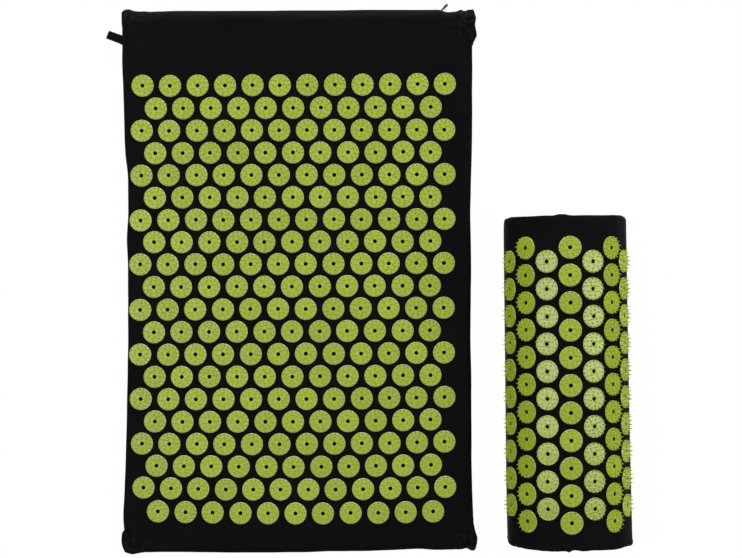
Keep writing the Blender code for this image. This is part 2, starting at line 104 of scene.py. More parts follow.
# Zips
ZIP_RECESS = 6 * MM
ZIP_WINDOW_HALF = 6 * MM
ZIP_LIP = ZIP_WINDOW_HALF - 0.1 * MM
CHAIN_HALF_WIDTH = 2.5 * MM
CHAIN_PROUD = 1.2 * MM
TOOTH_PITCH = 1.3 * MM
STOP_LENGTH = 3 * MM
TAPE_TAIL = 12 * MM
STOP_PROUD = 1.8 * MM
SLIDER_HALF = 4.5 * MM
SLIDER_NOSE_HALF = 4.2 * MM
SLIDER_TAIL_HALF = 3.5 * MM
SLIDER_PLATE = 0.8 * MM
SLIDER_FACE = CHAIN_PROUD + GAP + SLIDER_PLATE
BRIDGE_OPENING = 2.6 * MM
BRIDGE_BAR = 0.8 * MM
BRIDGE_HALF = 3 * MM
PULL_AXIS = SLIDER_FACE + BRIDGE_OPENING / 2
MAT_CHAIN_HALF = 174.9 * MM
MAT_WINDOW = 185.5 * MM
PILLOW_CHAIN_HALF = 154.7 * MM
PILLOW_WINDOW = 165.3 * MM
PILLOW_ZIP_HEIGHT = 12 * MM


def smooth(low, high, value):
    """0 below low, 1 above high, and a smooth step between."""
    share = min(1, max(0, (value - low) / (high - low)))
    return share * share * (3 - 2 * share)


def hump(place, half_width, value):
    """1 at place, falling to 0 half_width away."""
    share = abs(value - place) / half_width
    return 0.5 + 0.5 * math.cos(math.pi * share) if share < 1 else 0


def near_edge(value, half, reach, margin=0.0):
    """0 up to reach short of half, 1 from margin short of it, on either side of the middle."""
    return smooth(half - reach, half - margin, abs(value))


def even_steps(half, count):
    """Places from -half to half in that many even steps."""
    return [-half + 2 * half * i / count for i in range(count + 1)]


def angles(count):
    """Even steps round a full turn."""
    return [2 * math.pi * i / count for i in range(count)]


def wave(x, y, size, seed):
    """Soft noise between -1 and 1 with features of that size."""
    return noise.noise(Vector((x / size, y / size, seed)))


def crease(x, y, size, seed):
    """Sharp folds between -1 and 1: narrow ridges and broad hollows."""
    return 1 - 3.2 * abs(wave(x, y, size, seed))


def follow(points, place):
    """A smooth line through (place, value) points in millimetres, level past both ends."""
    place = place / MM
    if place <= points[0][0]:
        return points[0][1] * MM
    if place >= points[-1][0]:
        return points[-1][1] * MM
    after = next(i for i, point in enumerate(points) if point[0] >= place)
    (x0, y0), (x1, y1) = points[after - 1], points[after]
    rise = (y1 - y0) / (x1 - x0)

    def slope(i):
        if i in (0, len(points) - 1):
            return rise
        before = (points[i][1] - points[i - 1][1]) / (points[i][0] - points[i - 1][0])
        beyond = (points[i + 1][1] - points[i][1]) / (points[i + 1][0] - points[i][0])
        if before * beyond <= 0:
            return 0
        return 2 * before * beyond / (before + beyond)

    share = (place - x0) / (x1 - x0)
    start, end = slope(after - 1) * (x1 - x0), slope(after) * (x1 - x0)
    cube, square = share**3, share**2
    value = (2 * cube - 3 * square + 1) * y0 + (cube - 2 * square + share) * start
    value += (3 * square - 2 * cube) * y1 + (cube - square) * end
    return value * MM


# Materials


class Nodes:
    """Adds shader nodes to one material in a compact way."""

    def __init__(self, name):
        self.material = bpy.data.materials.new(name)
        self.material.use_nodes = True
        self.tree = self.material.node_tree
        self.shader = self.tree.nodes["Principled BSDF"]

    def add(self, kind, inputs=None, **settings):
        node = self.tree.nodes.new(kind)
        for key, value in settings.items():
            setattr(node, key, value)
        for key, value in (inputs or {}).items():
            self.set(node, key, value)
        return node

    def set(self, node, key, value):
        if isinstance(value, bpy.types.NodeSocket):
            self.tree.links.new(value, node.inputs[key])
        else:
            node.inputs[key].default_value = value

    def place(self, scale=(1, 1, 1)):
        """The object's own coordinates, scaled."""
        inputs = {"Vector": self.add("ShaderNodeTexCoord").outputs["Object"], "Scale": scale}
        return self.add("ShaderNodeMapping", inputs).outputs["Vector"]

    def axes(self):
        return self.add("ShaderNodeSeparateXYZ", {"Vector": self.place()}).outputs

    def attribute(self, name):
        return self.add("ShaderNodeAttribute", attribute_name=name).outputs["Fac"]

    def noise(self, scale, detail, roughness=0.55, vector=None):
        vector = vector or self.place()
        inputs = {"Vector": vector, "Scale": scale, "Detail": detail, "Roughness": roughness}
        return self.add("ShaderNodeTexNoise", inputs).outputs["Fac"]

    def math(self, operation, *values):
        node = self.add("ShaderNodeMath", operation=operation)
        for i, value in enumerate(values):
            self.set(node, i, value)
        return node.outputs[0]

    def scaled(self, value, factor, offset):
        """value * factor + offset."""
        return self.math("MULTIPLY_ADD", value, factor, offset)

    def around_middle(self, value, factor, offset):
        """(value - 0.5) * factor + offset."""
        return self.scaled(self.math("SUBTRACT", value, 0.5), factor, offset)

    def ramp(self, value, stops):
        node = self.add("ShaderNodeValToRGB", {"Fac": value})
        elements = node.color_ramp.elements
        while len(elements) < len(stops):
            elements.new(0.5)
        for element, (place, colour) in zip(elements, stops):
            element.position = place
            element.color = (*colour, 1)
        return node.outputs["Color"]

    def mix(self, share, first, second, blend="MIX"):
        node = self.add("ShaderNodeMix", data_type="RGBA", blend_type=blend)
        self.set(node, 0, share)
        self.set(node, 6, first)
        self.set(node, 7, second)
        return node.outputs[2]

    def bump(self, height, distance, strength=1, normal=None):
        inputs = {"Height": height, "Distance": distance, "Strength": strength}
        if normal:
            inputs["Normal"] = normal
        return self.add("ShaderNodeBump", inputs).outputs["Normal"]

    def finish(self, **inputs):
        for key, value in inputs.items():
            self.set(self.shader, key.replace("_", " "), value)
        return self.material


def weave_height(nodes, thread):
    """Warp and weft threads crossing, as a height from 0 to 1."""
    turns = math.pi / thread
    axes = nodes.axes()
    across = nodes.math("SINE", nodes.math("MULTIPLY", axes["X"], turns))
    down = nodes.math("ADD", axes["Y"], axes["Z"])
    along = nodes.math("SINE", nodes.math("MULTIPLY", down, turns))
    return nodes.scaled(nodes.math("MULTIPLY", across, along), 0.5, 0.5)


def cotton_material():
    """Plain-woven black cotton: fine threads, a little lint, faintly uneven dye, and a painted highlight in
    patches on the head hem and the folds' lips and ridges.
    """
    nodes = Nodes("black_cotton")
    dye = nodes.noise(14, 4)
    lint = nodes.noise(900, 2)
    weave = weave_height(nodes, 0.55 * MM)
    tone = nodes.scaled(weave, 0.15, nodes.scaled(lint, 0.25, nodes.math("MULTIPLY", dye, 0.60)))
    fresh = nodes.ramp(tone, ((0.30, (0.0035, 0.0035, 0.0036)), (0.70, (0.0058, 0.0058, 0.0059))))
    # Painted highlight: the lighter colour below is mixed in where the head hem, the folds' lips and the
    # crumpled ridges would catch the light, broken into patches.
    patches = nodes.scaled(nodes.noise(170, 3), 1.2, 0.4)
    painted_highlight = nodes.math("MULTIPLY", nodes.attribute("painted_highlight"), patches)
    threads = nodes.bump(weave, 0.10 * MM, 0.5)
    return nodes.finish(
        Base_Color=nodes.mix(painted_highlight, fresh, (0.020, 0.020, 0.0205, 1)),
        Roughness=nodes.scaled(dye, 0.08, 0.54),
        Normal=nodes.bump(nodes.noise(60, 5, 0.6), 0.5 * MM, 0.30, threads),
        Specular_IOR_Level=0.012,
    )


def lime_material():
    """Glossy lime plastic: painted shade makes it deeper in the hollows, painted highlights make it paler on
    the tips and rims.
    """
    nodes = Nodes("lime_plastic")
    mottle = nodes.noise(260, 4)
    streaks = nodes.noise(420, 3, 0.5, nodes.place((1, 0.22, 1)))
    stops = (
        (0.0, (0.318, 0.425, 0.006)),
        (0.35, (0.338, 0.444, 0.007)),
        (0.80, (0.360, 0.463, 0.010)),
        (1.0, (0.388, 0.484, 0.024)),
    )
    # Painted shade and highlight by height: the plate sits low in the ramp and deeper green, the spikes grow
    # paler towards their tips.
    lift = nodes.around_middle(mottle, 0.26, nodes.attribute("painted_height_light"))
    colour = nodes.ramp(nodes.around_middle(streaks, 0.20, lift), stops)
    # Painted highlight: a pale colour mixed in on the plate's rim, the collar round the hole and the spikes,
    # broken into patches.
    patches = nodes.scaled(nodes.noise(150, 2), 1.0, 0.15)
    wear = nodes.math("MULTIPLY", nodes.attribute("rim_highlight"), patches)
    colour = nodes.mix(wear, colour, (0.415, 0.480, 0.165, 1))
    # Random disc tone, with the pillow columns' painted shade added in.
    shade = nodes.scaled(nodes.attribute("disc_tone"), 0.10, 0.95)
    grey = nodes.add("ShaderNodeCombineColor", {"Red": shade, "Green": shade, "Blue": shade}).outputs[0]
    return nodes.finish(
        Base_Color=nodes.mix(1.0, colour, grey, "MULTIPLY"),
        Roughness=nodes.scaled(mottle, 0.14, 0.19),
        Normal=nodes.bump(nodes.noise(1500, 2), 0.05 * MM, 0.3),
        Specular_IOR_Level=0.40,
        Subsurface_Weight=0.35,
        Subsurface_Radius=(1.0, 1.0, 0.35),
        Subsurface_Scale=1.6 * MM,
    )


def tape_material(name, colour, thread):
    """Narrow woven tape or webbing with a herringbone rib."""
    nodes = Nodes(name)
    axes = nodes.axes()
    side = nodes.math("PINGPONG", nodes.math("ADD", axes["Y"], axes["Z"]), 2.5 * MM)
    slant = nodes.math("ADD", axes["X"], side)
    ribs = nodes.math("SINE", nodes.math("MULTIPLY", slant, 2 * math.pi / thread))
    lint = nodes.noise(700, 2)
    low, high = (tuple(channel * share for channel in colour) for share in (0.8, 1.3))
    return nodes.finish(
        Base_Color=nodes.ramp(lint, ((0.3, low), (0.7, high))),
        Roughness=nodes.scaled(lint, 0.10, 0.74),
        Normal=nodes.bump(ribs, 0.12 * MM, 0.8),
        Specular_IOR_Level=0.06,
        Sheen_Weight=0.005,
    )


def coil_material():
    """Black nylon of the zip's teeth."""
    nodes = Nodes("zip_coil_nylon")
    grime = nodes.noise(300, 3)
    return nodes.finish(
        Base_Color=nodes.ramp(grime, ((0.3, (0.008, 0.008, 0.008)), (0.7, (0.014, 0.014, 0.014)))),
        Roughness=nodes.scaled(grime, 0.15, 0.33),
        Normal=nodes.bump(grime, 0.05 * MM, 0.3),
    )


def thread_material():
    """Twisted black sewing thread."""
    nodes = Nodes("black_thread")
    twist = nodes.noise(1600, 2, 0.6, nodes.place((1, 0.4, 0.4)))
    return nodes.finish(
        Base_Color=nodes.ramp(twist, ((0.3, (0.010, 0.010, 0.010)), (0.7, (0.022, 0.022, 0.023)))),
        Roughness=nodes.scaled(twist, 0.10, 0.60),
        Normal=nodes.bump(twist, 0.08 * MM, 0.6),
        Specular_IOR_Level=0.2,
    )


def metal_material(name, dark, light, base_roughness, metallic):
    """Painted or plated die-cast metal, rubbed a little lighter in patches."""
    nodes = Nodes(name)
    wear = nodes.noise(500, 4)
    scratches = nodes.noise(120, 5, 0.7, nodes.place((1, 12, 12)))
    return nodes.finish(
        Base_Color=nodes.ramp(wear, ((0.35, dark), (0.72, light))),
        Roughness=nodes.scaled(wear, 0.18, base_roughness),
        Normal=nodes.bump(scratches, 0.03 * MM, 0.4),
        Metallic=metallic,
    )


def foam_material():
    """Open-celled grey foam."""
    nodes = Nodes("grey_foam")
    cells = nodes.add("ShaderNodeTexVoronoi", {"Vector": nodes.place(), "Scale": 900}).outputs["Distance"]
    return nodes.finish(
        Base_Color=nodes.ramp(cells, ((0.1, (0.05, 0.05, 0.05)), (0.8, (0.13, 0.13, 0.13)))),
        Roughness=nodes.scaled(cells, 0.05, 0.9),
        Normal=nodes.bump(cells, 0.3 * MM, 0.8),
    )


COTTON = cotton_material()
LIME = lime_material()
TAPE = tape_material("zip_tape_weave", (0.008, 0.008, 0.008), 1.2 * MM)
WEBBING = tape_material("webbing_weave", (0.0034, 0.0034, 0.0034), 1.6 * MM)
COIL = coil_material()
THREAD = thread_material()
PAINTED = metal_material("black_painted_metal", (0.020, 0.020, 0.022), (0.050, 0.050, 0.053), 0.32, 0.5)
PULL_METAL = metal_material("dark_plated_metal", (0.050, 0.050, 0.055), (0.11, 0.11, 0.115), 0.30, 0.8)
FOAM = foam_material()


# Mesh helpers

SHARP_ANGLE = math.radians(40)
SWELL_STEPS = 20
SQUARE = ((-1, -1), (1, -1), (1, 1), (-1, 1))


def link_object(name, data):
    """A new object in the scene around this data."""
    obj = bpy.data.objects.new(name, data)
    bpy.context.scene.collection.objects.link(obj)
    return obj


def add_piece(name, data, material, body):
    """An object around a mesh, with its finish, riding a body."""
    data.materials.append(material)
    obj = link_object(name, data)
    if body:
        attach(obj, body)
    return obj


def add_mesh(name, vertices, faces, material, slot, body, flat=False):
    """A piece from points and faces, riding a body."""
    mesh = bpy.data.meshes.new(name)
    mesh.from_pydata([tuple(v) for v in vertices], [], [tuple(f) for f in faces])
    mesh.validate()
    mesh.update()
    if not flat:
        mesh.shade_smooth()
    return add_piece(name, mesh, material, body)


def thicken(obj, thickness):
    """Gives a sheet its thickness, inwards."""
    shell = obj.modifiers.new("sheet", "SOLIDIFY")
    shell.thickness = thickness
    shell.offset = -1


def soften(obj, width):
    """Rounds the sharp edges of a cast or pressed piece."""
    bevel = obj.modifiers.new("edges", "BEVEL")
    bevel.width = width
    bevel.segments = 2
    bevel.limit_method = "ANGLE"
    bevel.angle_limit = SHARP_ANGLE


def flipped(faces, turn_over):
    """The same faces, looking the other way where turn_over says so."""
    return [face[::-1] for face in faces] if turn_over else faces


def shifted(faces, start):
    """The same faces, with their corners counted on from start."""
    return [tuple(start + corner for corner in face) for face in faces]


def grid_faces(rows, columns, flip=False):
    """Quads of a grid of points stored row by row."""
    starts = [i * columns + j for i in range(rows - 1) for j in range(columns - 1)]
    return flipped([(a, a + columns, a + columns + 1, a + 1) for a in starts], flip)


def band_faces(rings, count):
    """Quads between closed rings of count points each, stored ring by ring."""
    faces = []
    for ring in range(rings - 1):
        for i in range(count):
            a, b = ring * count + i, ring * count + (i + 1) % count
            faces.append((a, b, b + count, a + count))
    return faces


def transformed(points, matrix):
    return [matrix @ Vector(point) for point in points]


def join_solids(solids):
    """One list of points and one of faces from several (points, faces) solids."""
    points, faces = [], []
    for solid_points, solid_faces in solids:
        faces += shifted(solid_faces, len(points))
        points += list(solid_points)
    return points, faces


def tube(rings):
    """A closed solid through rings of equally many points."""
    count = len(rings[0])
    points = [point for ring in rings for point in ring]
    last = (len(rings) - 1) * count
    ends = [tuple(reversed(range(count))), tuple(range(last, last + count))]
    return points, band_faces(len(rings), count) + ends


def facing(ring, side):
    """The ring, run the other way on the lower side, so that a mirrored solid's faces look outwards."""
    return ring if side > 0 else ring[::-1]


def add_solids(name, solids, matrix, material, slot, body):
    """One piece of several flat-faced solids, set in place by a matrix."""
    points, faces = join_solids(solids)
    return add_mesh(name, transformed(points, matrix), faces, material, slot, body, flat=True)


def swell(obj, held, cap):
    """Cloth simulation: the filling presses out what isn't held. No point moves further than cap."""
    mesh = obj.data
    before = np.empty(len(mesh.vertices) * 3)
    mesh.vertices.foreach_get("co", before)
    before = before.reshape(-1, 3)
    group = obj.vertex_groups.new(name="held")
    group.add(held, 1.0, "REPLACE")
    cloth = obj.modifiers.new("swell", "CLOTH")
    settings = cloth.settings
    settings.quality = 4
    settings.mass = 0.3
    settings.tension_stiffness = 12
    settings.compression_stiffness = 12
    settings.shear_stiffness = 5
    settings.bending_stiffness = 0.5
    settings.use_pressure = True
    settings.uniform_pressure_force = 3.0
    settings.vertex_group_mass = "held"
    settings.effector_weights.gravity = 0
    cloth.point_cache.frame_start = 1
    cloth.point_cache.frame_end = SWELL_STEPS
    scene = bpy.context.scene
    for step in range(1, SWELL_STEPS + 1):
        scene.frame_set(step)
    shown = obj.evaluated_get(bpy.context.evaluated_depsgraph_get())
    after = np.empty(len(before) * 3)
    shown.data.vertices.foreach_get("co", after)
    moved = after.reshape(-1, 3) - before
    length = np.linalg.norm(moved, axis=1, keepdims=True)
    safe = np.maximum(length, 1e-9)
    capped = moved / safe * cap * np.tanh(length / cap)
    obj.modifiers.remove(cloth)
    scene.frame_set(1)
    mesh.vertices.foreach_set("co", (before + capped).ravel())
    mesh.update()


def add_cloth(name, points, faces, body, node, held=None, cap=0.0):
    """A cotton panel in a CAD node's place. With held points given, the rest swells by up to cap."""
    panel = add_mesh(name, points, faces, COTTON, "cotton_cover", body)
    if held:
        swell(panel, held, cap)
    thicken(panel, CLOTH)
    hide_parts(node)
    return panel


# Where the rosettes are


# How far the photographed rows lie from even ones, in millimetres:
# (row's place along the mat, shift right, stretch, lift towards the head, tilt, bend)
ROW_DRIFT = (
    (-280, -0.1, -0.2, -2.0, -1.3, 3.8),
    (-253, -0.8, -1.1, -0.1, -0.5, 4.0),
    (-226, -1.0, -1.1, 0.1, -0.2, 2.8),
    (-172, -0.9, 0.0, 0.4, 0.5, 2.1),
    (-118, -0.5, 0.2, 0.2, 0.3, 1.0),
    (-50, -0.3, 0.2, 0.35, 0.4, 0.2),
    (18, 0.1, 0.3, 0.55, 0.1, 0.4),
    (72, 0.6, 0.1, -0.15, -0.3, 0.0),
    (110, 0.8, 0.0, -0.2, -0.2, 0.0),
    (154, 0.6, -0.1, -0.5, -0.2, 0.0),
    (208, 0.25, -0.8, -0.5, 0.05, 0.4),
    (235, 0.4, -0.55, 0.1, 0.35, 0.35),
)


def drifted(x, y):
    """A rosette's place as photographed, from its place in even rows."""
    columns = ([(row[0], row[i]) for row in ROW_DRIFT] for i in range(1, 6))
    shift, stretch, lift, tilt, bend = (follow(column, y) for column in columns)
    share = x / MAT_HALF_WIDTH
    return x + shift + stretch * share, y + lift + tilt * share + bend * (share**2 - 0.35)


def mat_rosette_places():
    """For each row of the mat, the matrices of its rosettes' undersides."""
    rows = []
    for row in range(ROW_COUNT):
        low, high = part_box(f"mat_rosette_row_{row + 1:02d}")
        middle_x, middle_y = (low.x + high.x) / 2, (low.y + high.y) / 2
        count = SHORT_ROW if row % 2 else LONG_ROW
        places = []
        for i in range(count):
            offset = (i - (count - 1) / 2) * ROSETTE_PITCH
            x = middle_x + offset * math.cos(FIELD_TURN)
            y = middle_y + offset * math.sin(FIELD_TURN)
            places.append(Matrix.Translation((*drifted(x, y), low.z)))
        rows.append(places)
    return rows


MAT_ROSETTES = mat_rosette_places()


# The mat's cover

# Width of the band round the flat face where the grid is fine enough for the folds
FINE_BAND = 36 * MM


def slab_lines(core_half, coarse, fine, radial):
    """Grid lines across a rounded slab: (core coordinate, signed path length past the core)."""
    inner = core_half - FINE_BAND
    edge = round(FINE_BAND / fine)
    left = [-core_half + FINE_BAND * i / edge for i in range(edge)]
    core = left + even_steps(inner, round(2 * inner / coarse)) + [-value for value in reversed(left)]
    before = [(-core_half, -length) for length in reversed(radial)]
    return before + [(value, 0.0) for value in core] + [(core_half, length) for length in radial]


def slab_point(line_x, line_y):
    """Core point, outward direction and path length of a grid point, with nearly square corners."""
    (core_x, past_x), (core_y, past_y) = line_x, line_y
    length = max(abs(past_x), abs(past_y))
    if length == 0:
        return core_x, core_y, 0.0, 0.0, 0.0
    ratio = min(abs(past_x), abs(past_y)) / length
    turn = math.pi / 4 * ratio
    round_out, square_out = (math.cos(turn), math.sin(turn)), (1, ratio)
    major, minor = (a + (b - a) * CORNER_SQUARENESS for a, b in zip(round_out, square_out))
    out_x, out_y = (major, minor) if abs(past_x) >= abs(past_y) else (minor, major)
    out_x = math.copysign(out_x, past_x) if past_x else 0.0
    out_y = math.copysign(out_y, past_y) if past_y else 0.0
    return core_x, core_y, out_x, out_y, length


def slab_grid(coarse, fine, radial):
    """A rounded slab's grid points row by row, as slab_point gives them, and how many rows and columns."""
    lines_x = slab_lines(MAT_HALF_WIDTH - MAT_CORNER, coarse, fine, radial)
    lines_y = slab_lines(MAT_HALF_LENGTH - MAT_CORNER, coarse, fine, radial)
    spots = [slab_point(line_x, line_y) for line_x in lines_x for line_y in lines_y]
    return spots, len(lines_x), len(lines_y)


class EdgeProfile:
    """Section of a cover panel from the flat face over its roll to the seam, by path length."""

    def __init__(self, face_height, roll, seam_height):
        self.flat = MAT_CORNER - roll
        self.roll = roll
        self.face = face_height
        self.sign = 1 if seam_height < face_height else -1
        self.wall = abs(face_height - seam_height) - roll
        self.tuck = 1.0 * MM
        self.roll_end = self.flat + math.pi / 2 * roll
        self.wall_end = self.roll_end + self.wall

    def samples(self):
        """Path lengths at which the section is drawn."""
        flat = [self.flat * share for share in (0.35, 0.7, 1)]
        roll = [self.flat + (self.roll_end - self.flat) * (i + 1) / 7 for i in range(7)]
        wall = [self.roll_end + self.wall * share for share in (0.25, 0.5, 0.75, 1)]
        return flat + roll + wall + [self.wall_end + self.tuck * 0.5, self.wall_end + self.tuck]

    def at(self, length, zip_share):
        """(distance out from the core, height). Over the zip the cloth turns in as a hem at its window."""
        if length <= self.flat:
            return length, self.face
        if length <= self.roll_end:
            turn = (length - self.flat) / self.roll
            reach = self.flat + self.roll * math.sin(turn)
            return reach, self.face - self.sign * self.roll * (1 - math.cos(turn))
        below = length - self.roll_end
        shoulder = self.face - self.sign * self.roll
        down = min(below, self.wall)
        past = max(0, below - self.wall)
        seam_reach = MAT_CORNER - 0.7 * past
        seam_height = shoulder - self.sign * (down - 0.25 * past)
        share = below / (self.wall + self.tuck)
        lip = MAT_SEAM + self.sign * ZIP_LIP
        hem_reach = MAT_CORNER - HEM * share**1.4
        hem_height = shoulder + (lip - shoulder) * min(1, 4 * share)
        return (
            seam_reach * (1 - zip_share) + hem_reach * zip_share,
            seam_height * (1 - zip_share) + hem_height * zip_share,
        )


# The photographed outline of the cover in millimetres: (place along the side, distance from the middle)
LEFT_LINE = (
    (-330, 207.6), (-327, 211.9), (-316, 213.9), (-309, 214.2), (-305, 213.6), (-301, 210.8), (-296, 211.1),
    (-285, 211.9), (-278, 211.7), (-242, 210), (-205, 208.8), (-150, 207.5), (-60, 206.2), (12, 206.4),
    (49, 207.6), (85, 206), (121, 206.3), (158, 209.9), (230, 212), (262, 213.4), (280, 213.2),
    (300, 213.3), (315, 213.9), (322, 215.3), (327, 214.3),
)  # fmt: skip
RIGHT_LINE = (
    (-326, 212.9), (-323, 214.8), (-312, 215.3), (-303, 213), (-292, 210.8), (-242, 209.1), (-205, 208.4),
    (-133, 208.2), (-60, 207.1), (12, 208), (85, 207), (121, 207.9), (194, 209.2), (281, 209.2),
    (288, 211.1), (295.5, 214.8), (303, 213.1), (310, 212.7), (315, 213.6), (320, 212.6), (326, 211.7),
)  # fmt: skip
HEAD_LINE = (
    (-215.5, 323.4), (-210, 326.8), (-205, 327.2), (-200.5, 325.3), (-191, 324.3), (-186, 324.3),
    (-180, 323.9), (-144, 325.0), (-107, 324.9), (-71, 325), (-35, 325.1), (1, 325.3), (37, 325.3),
    (74, 325.9), (110, 326.2), (151, 326.1), (168, 326.3), (174, 324.6), (180, 323.4), (185, 323.7),
    (190, 324.5), (195, 326.2), (199.5, 325.6), (205, 327.1), (209, 327.8), (213, 325.4),
)  # fmt: skip
FOOT_LINE = (
    (-212, 328.4), (-208, 329.8), (-201, 330.9), (-194, 329.3), (-186, 328.2), (-155, 328), (-71, 328.8),
    (1, 328.5), (37, 327.2), (74, 327), (110, 325.8), (146, 324.2), (156, 324.8), (166, 325.4), (187, 325),
    (195, 324.6), (202, 323.6), (209, 327), (213, 327.2),
)  # fmt: skip

# Folds of the cover near its corners, in millimetres: (x, y, x, y, half width, depth)
FOLDS = (
    (199.3, 318.7, 203.6, 314.1, 2.6, 2.2), (203.6, 314.1, 209.2, 316.7, 2.4, 2.4),
    (199, 325, 199.6, 318, 2.4, 2.2), (202, 321.5, 208, 322, 1.9, 1.4), (205, 307.2, 213, 307.7, 2.2, 1.8),
    (205, 303, 212, 303.4, 2, 1), (198.7, 300, 202, 292.8, 3.6, 2), (202, 292.8, 204.7, 287.4, 2.8, 2.9),
    (204.6, 287, 204.4, 262, 2.4, 1.4), (204.4, 262, 203.6, 200, 2.2, 0.8), (190, 318, 195, 312, 2.6, 0.9),
    (-205.7, 323, -205.3, 316.8, 2.4, 1.8), (-202.5, 320.4, -194.7, 317.4, 2, 1.5),
    (-194.7, 317.4, -187.4, 315.3, 2.2, 1.3), (-187.4, 314.7, -179, 316.2, 2, 1.2),
    (-198, 321.6, -189.8, 321.4, 1.8, 1.1), (-176.5, 318.6, -169.5, 320.2, 1.9, 1.1),
    (-167, 318.6, -152, 317.8, 2, 0.8), (-207.6, 313, -207.3, 265, 2.8, 1.8),
    (-202.5, 300, -202, 270, 2.4, 0.6), (-206.7, -270.5, -206, -303, 2.6, 1.2),
    (-205, -303, -203, -319.8, 2.8, 2.4), (-202.5, -321.6, -191, -322.2, 2.2, 1.7),
    (-182.6, -319.2, -175.4, -319.6, 1.9, 1.1), (-190, -321, -179, -321, 1.8, 1),
    (-167, -320.4, -149, -320.4, 1.8, 0.9), (-208, -311, -211, -314, 1.8, 1.2),
    (206.2, -264.4, 205.6, -304.2, 2.4, 1.3), (204.4, -304.2, 203.7, -315, 3, 2.3),
    (197.7, -317.5, 203.7, -321, 1.9, 1.8), (202.5, -316.2, 208.6, -319.9, 2, 2),
    (206, -319.2, 211, -317.4, 1.8, 1.6), (195.3, -313.8, 201.3, -315.7, 1.9, 1.1),
    (122, -320.6, 156, -320.2, 1.8, 0.8), (165, -321, 186, -320.6, 1.8, 0.8),
)  # fmt: skip


def fold_depth(x, y):
    """How far the folds draw the cloth down at a place, with a raised lip along each."""
    if abs(x) < 110 * MM or -262 * MM < y < 195 * MM:
        return 0
    total = 0
    for x0, y0, x1, y1, width, depth in FOLDS:
        along_x, along_y = x1 - x0, y1 - y0
        share = ((x / MM - x0) * along_x + (y / MM - y0) * along_y) / (along_x**2 + along_y**2)
        share = min(1, max(0, share))
        gap = math.hypot(x / MM - x0 - share * along_x, y / MM - y0 - share * along_y)
        if gap < 2.6 * width:
            total += 1.35 * depth * (1 - smooth(0, width, gap) - 0.35 * hump(1.6 * width, 0.8 * width, gap))
    return min(total, 3.2) * MM


# How strongly each corner of the cover is crumpled, by its sides
CORNER_CRUMPLE = {(1, 1): 1.0, (-1, 1): 0.55, (-1, -1): 0.5, (1, -1): 0.75}


def corner_crumple(x, y):
    """The corner's strength in it, 0 beyond about 50 mm from it."""
    gap_x = MAT_HALF_WIDTH - abs(x)
    gap_y = MAT_HALF_LENGTH - abs(y)
    strength = CORNER_CRUMPLE[(1 if x > 0 else -1, 1 if y > 0 else -1)]
    return strength * (1 - smooth(6 * MM, 46 * MM, math.hypot(max(0, gap_x), max(0, 0.8 * gap_y))))


def shape_cover(x, y, z, free):
    """Draws the cover out to its photographed outline and crumples it at the corners."""
    near_x = near_edge(x, MAT_HALF_WIDTH, 60 * MM, 3 * MM)
    near_y = near_edge(y, MAT_HALF_LENGTH, 45 * MM, 3 * MM)
    side = RIGHT_LINE if x > 0 else LEFT_LINE
    end = HEAD_LINE if y > 0 else FOOT_LINE
    way_x, way_y = math.copysign(1, x), math.copysign(1, y)
    shaped_x, shaped_y = x, y
    for _ in range(2):
        shaped_x = x + way_x * near_x * (follow(side, shaped_y) - MAT_HALF_WIDTH)
        shaped_y = y + way_y * near_y * (follow(end, shaped_x) - MAT_HALF_LENGTH)
    rim = max(near_edge(x, MAT_HALF_WIDTH, 9 * MM), near_edge(y, MAT_HALF_LENGTH, 9 * MM))
    over_zip = smooth(MAT_HALF_LENGTH - 8 * MM, MAT_HALF_LENGTH, y) * (abs(x) < MAT_WINDOW + 4 * MM)
    ripple = 0.30 * MM * wave(x, y, 24 * MM, 11) * rim * (1 - over_zip)
    fold = crease(x, y, 10 * MM, 3) + 0.5 * crease(x, y, 5 * MM, 7)
    fold *= 1.9 * MM * corner_crumple(x, y) * (1 - over_zip)
    shaped_x += way_x * near_x * (ripple + 0.25 * fold * rim)
    shaped_y += way_y * near_y * (ripple + 0.25 * fold * rim)
    sway = 0.45 * MM * wave(x, y, 55 * MM, 1) + 0.15 * MM * wave(x, y, 15 * MM, 2)
    rise = free * (sway + fold * (1 - 0.3 * rim) - 0.1 * MM)
    rise -= min(1, 1.6 * free) * fold_depth(shaped_x, shaped_y)
    return Vector((shaped_x, shaped_y, z + z / MAT_TOP * rise))


ROSETTE_CENTRES = [[(m.translation.x, m.translation.y) for m in row] for row in MAT_ROSETTES]


def free_of_rosettes(x, y):
    """0 under a rosette, 1 between them. Only the two nearest rows can lie close."""
    rows = sorted(ROSETTE_CENTRES, key=lambda row: abs(row[0][1] - y))
    nearest = min(math.hypot(x - place[0], y - place[1]) for place in rows[0] + rows[1])
    return smooth(11.5 * MM, 17 * MM, nearest)


def zip_share_at(core_x, out_x, out_y):
    """1 over the mat's zip, 0 past its ends and on the other sides."""
    if out_y <= 0.5:
        return 0
    return 1 - smooth(MAT_WINDOW, MAT_WINDOW + 3 * MM, abs(core_x + 12 * MM * out_x))


def painted_highlight_at(x, y, spot):
    """Painted highlight on the cloth: on the head hem, on the lips of the folds and on the crumpled ridges
    by the corners.
    """
    hem = 0.36 * smooth(MAT_HALF_LENGTH - 13 * MM, MAT_HALF_LENGTH - 1 * MM, y)
    lip = smooth(0.1 * MM, 0.8 * MM, -fold_depth(spot.x, spot.y))
    ridge = smooth(0.3, 0.9, crease(x, y, 10 * MM, 3)) * corner_crumple(x, y)
    share = 0.30 if abs(y) > 308 * MM else 0.10
    return min(1, hem + share * lip + 0.15 * ridge)


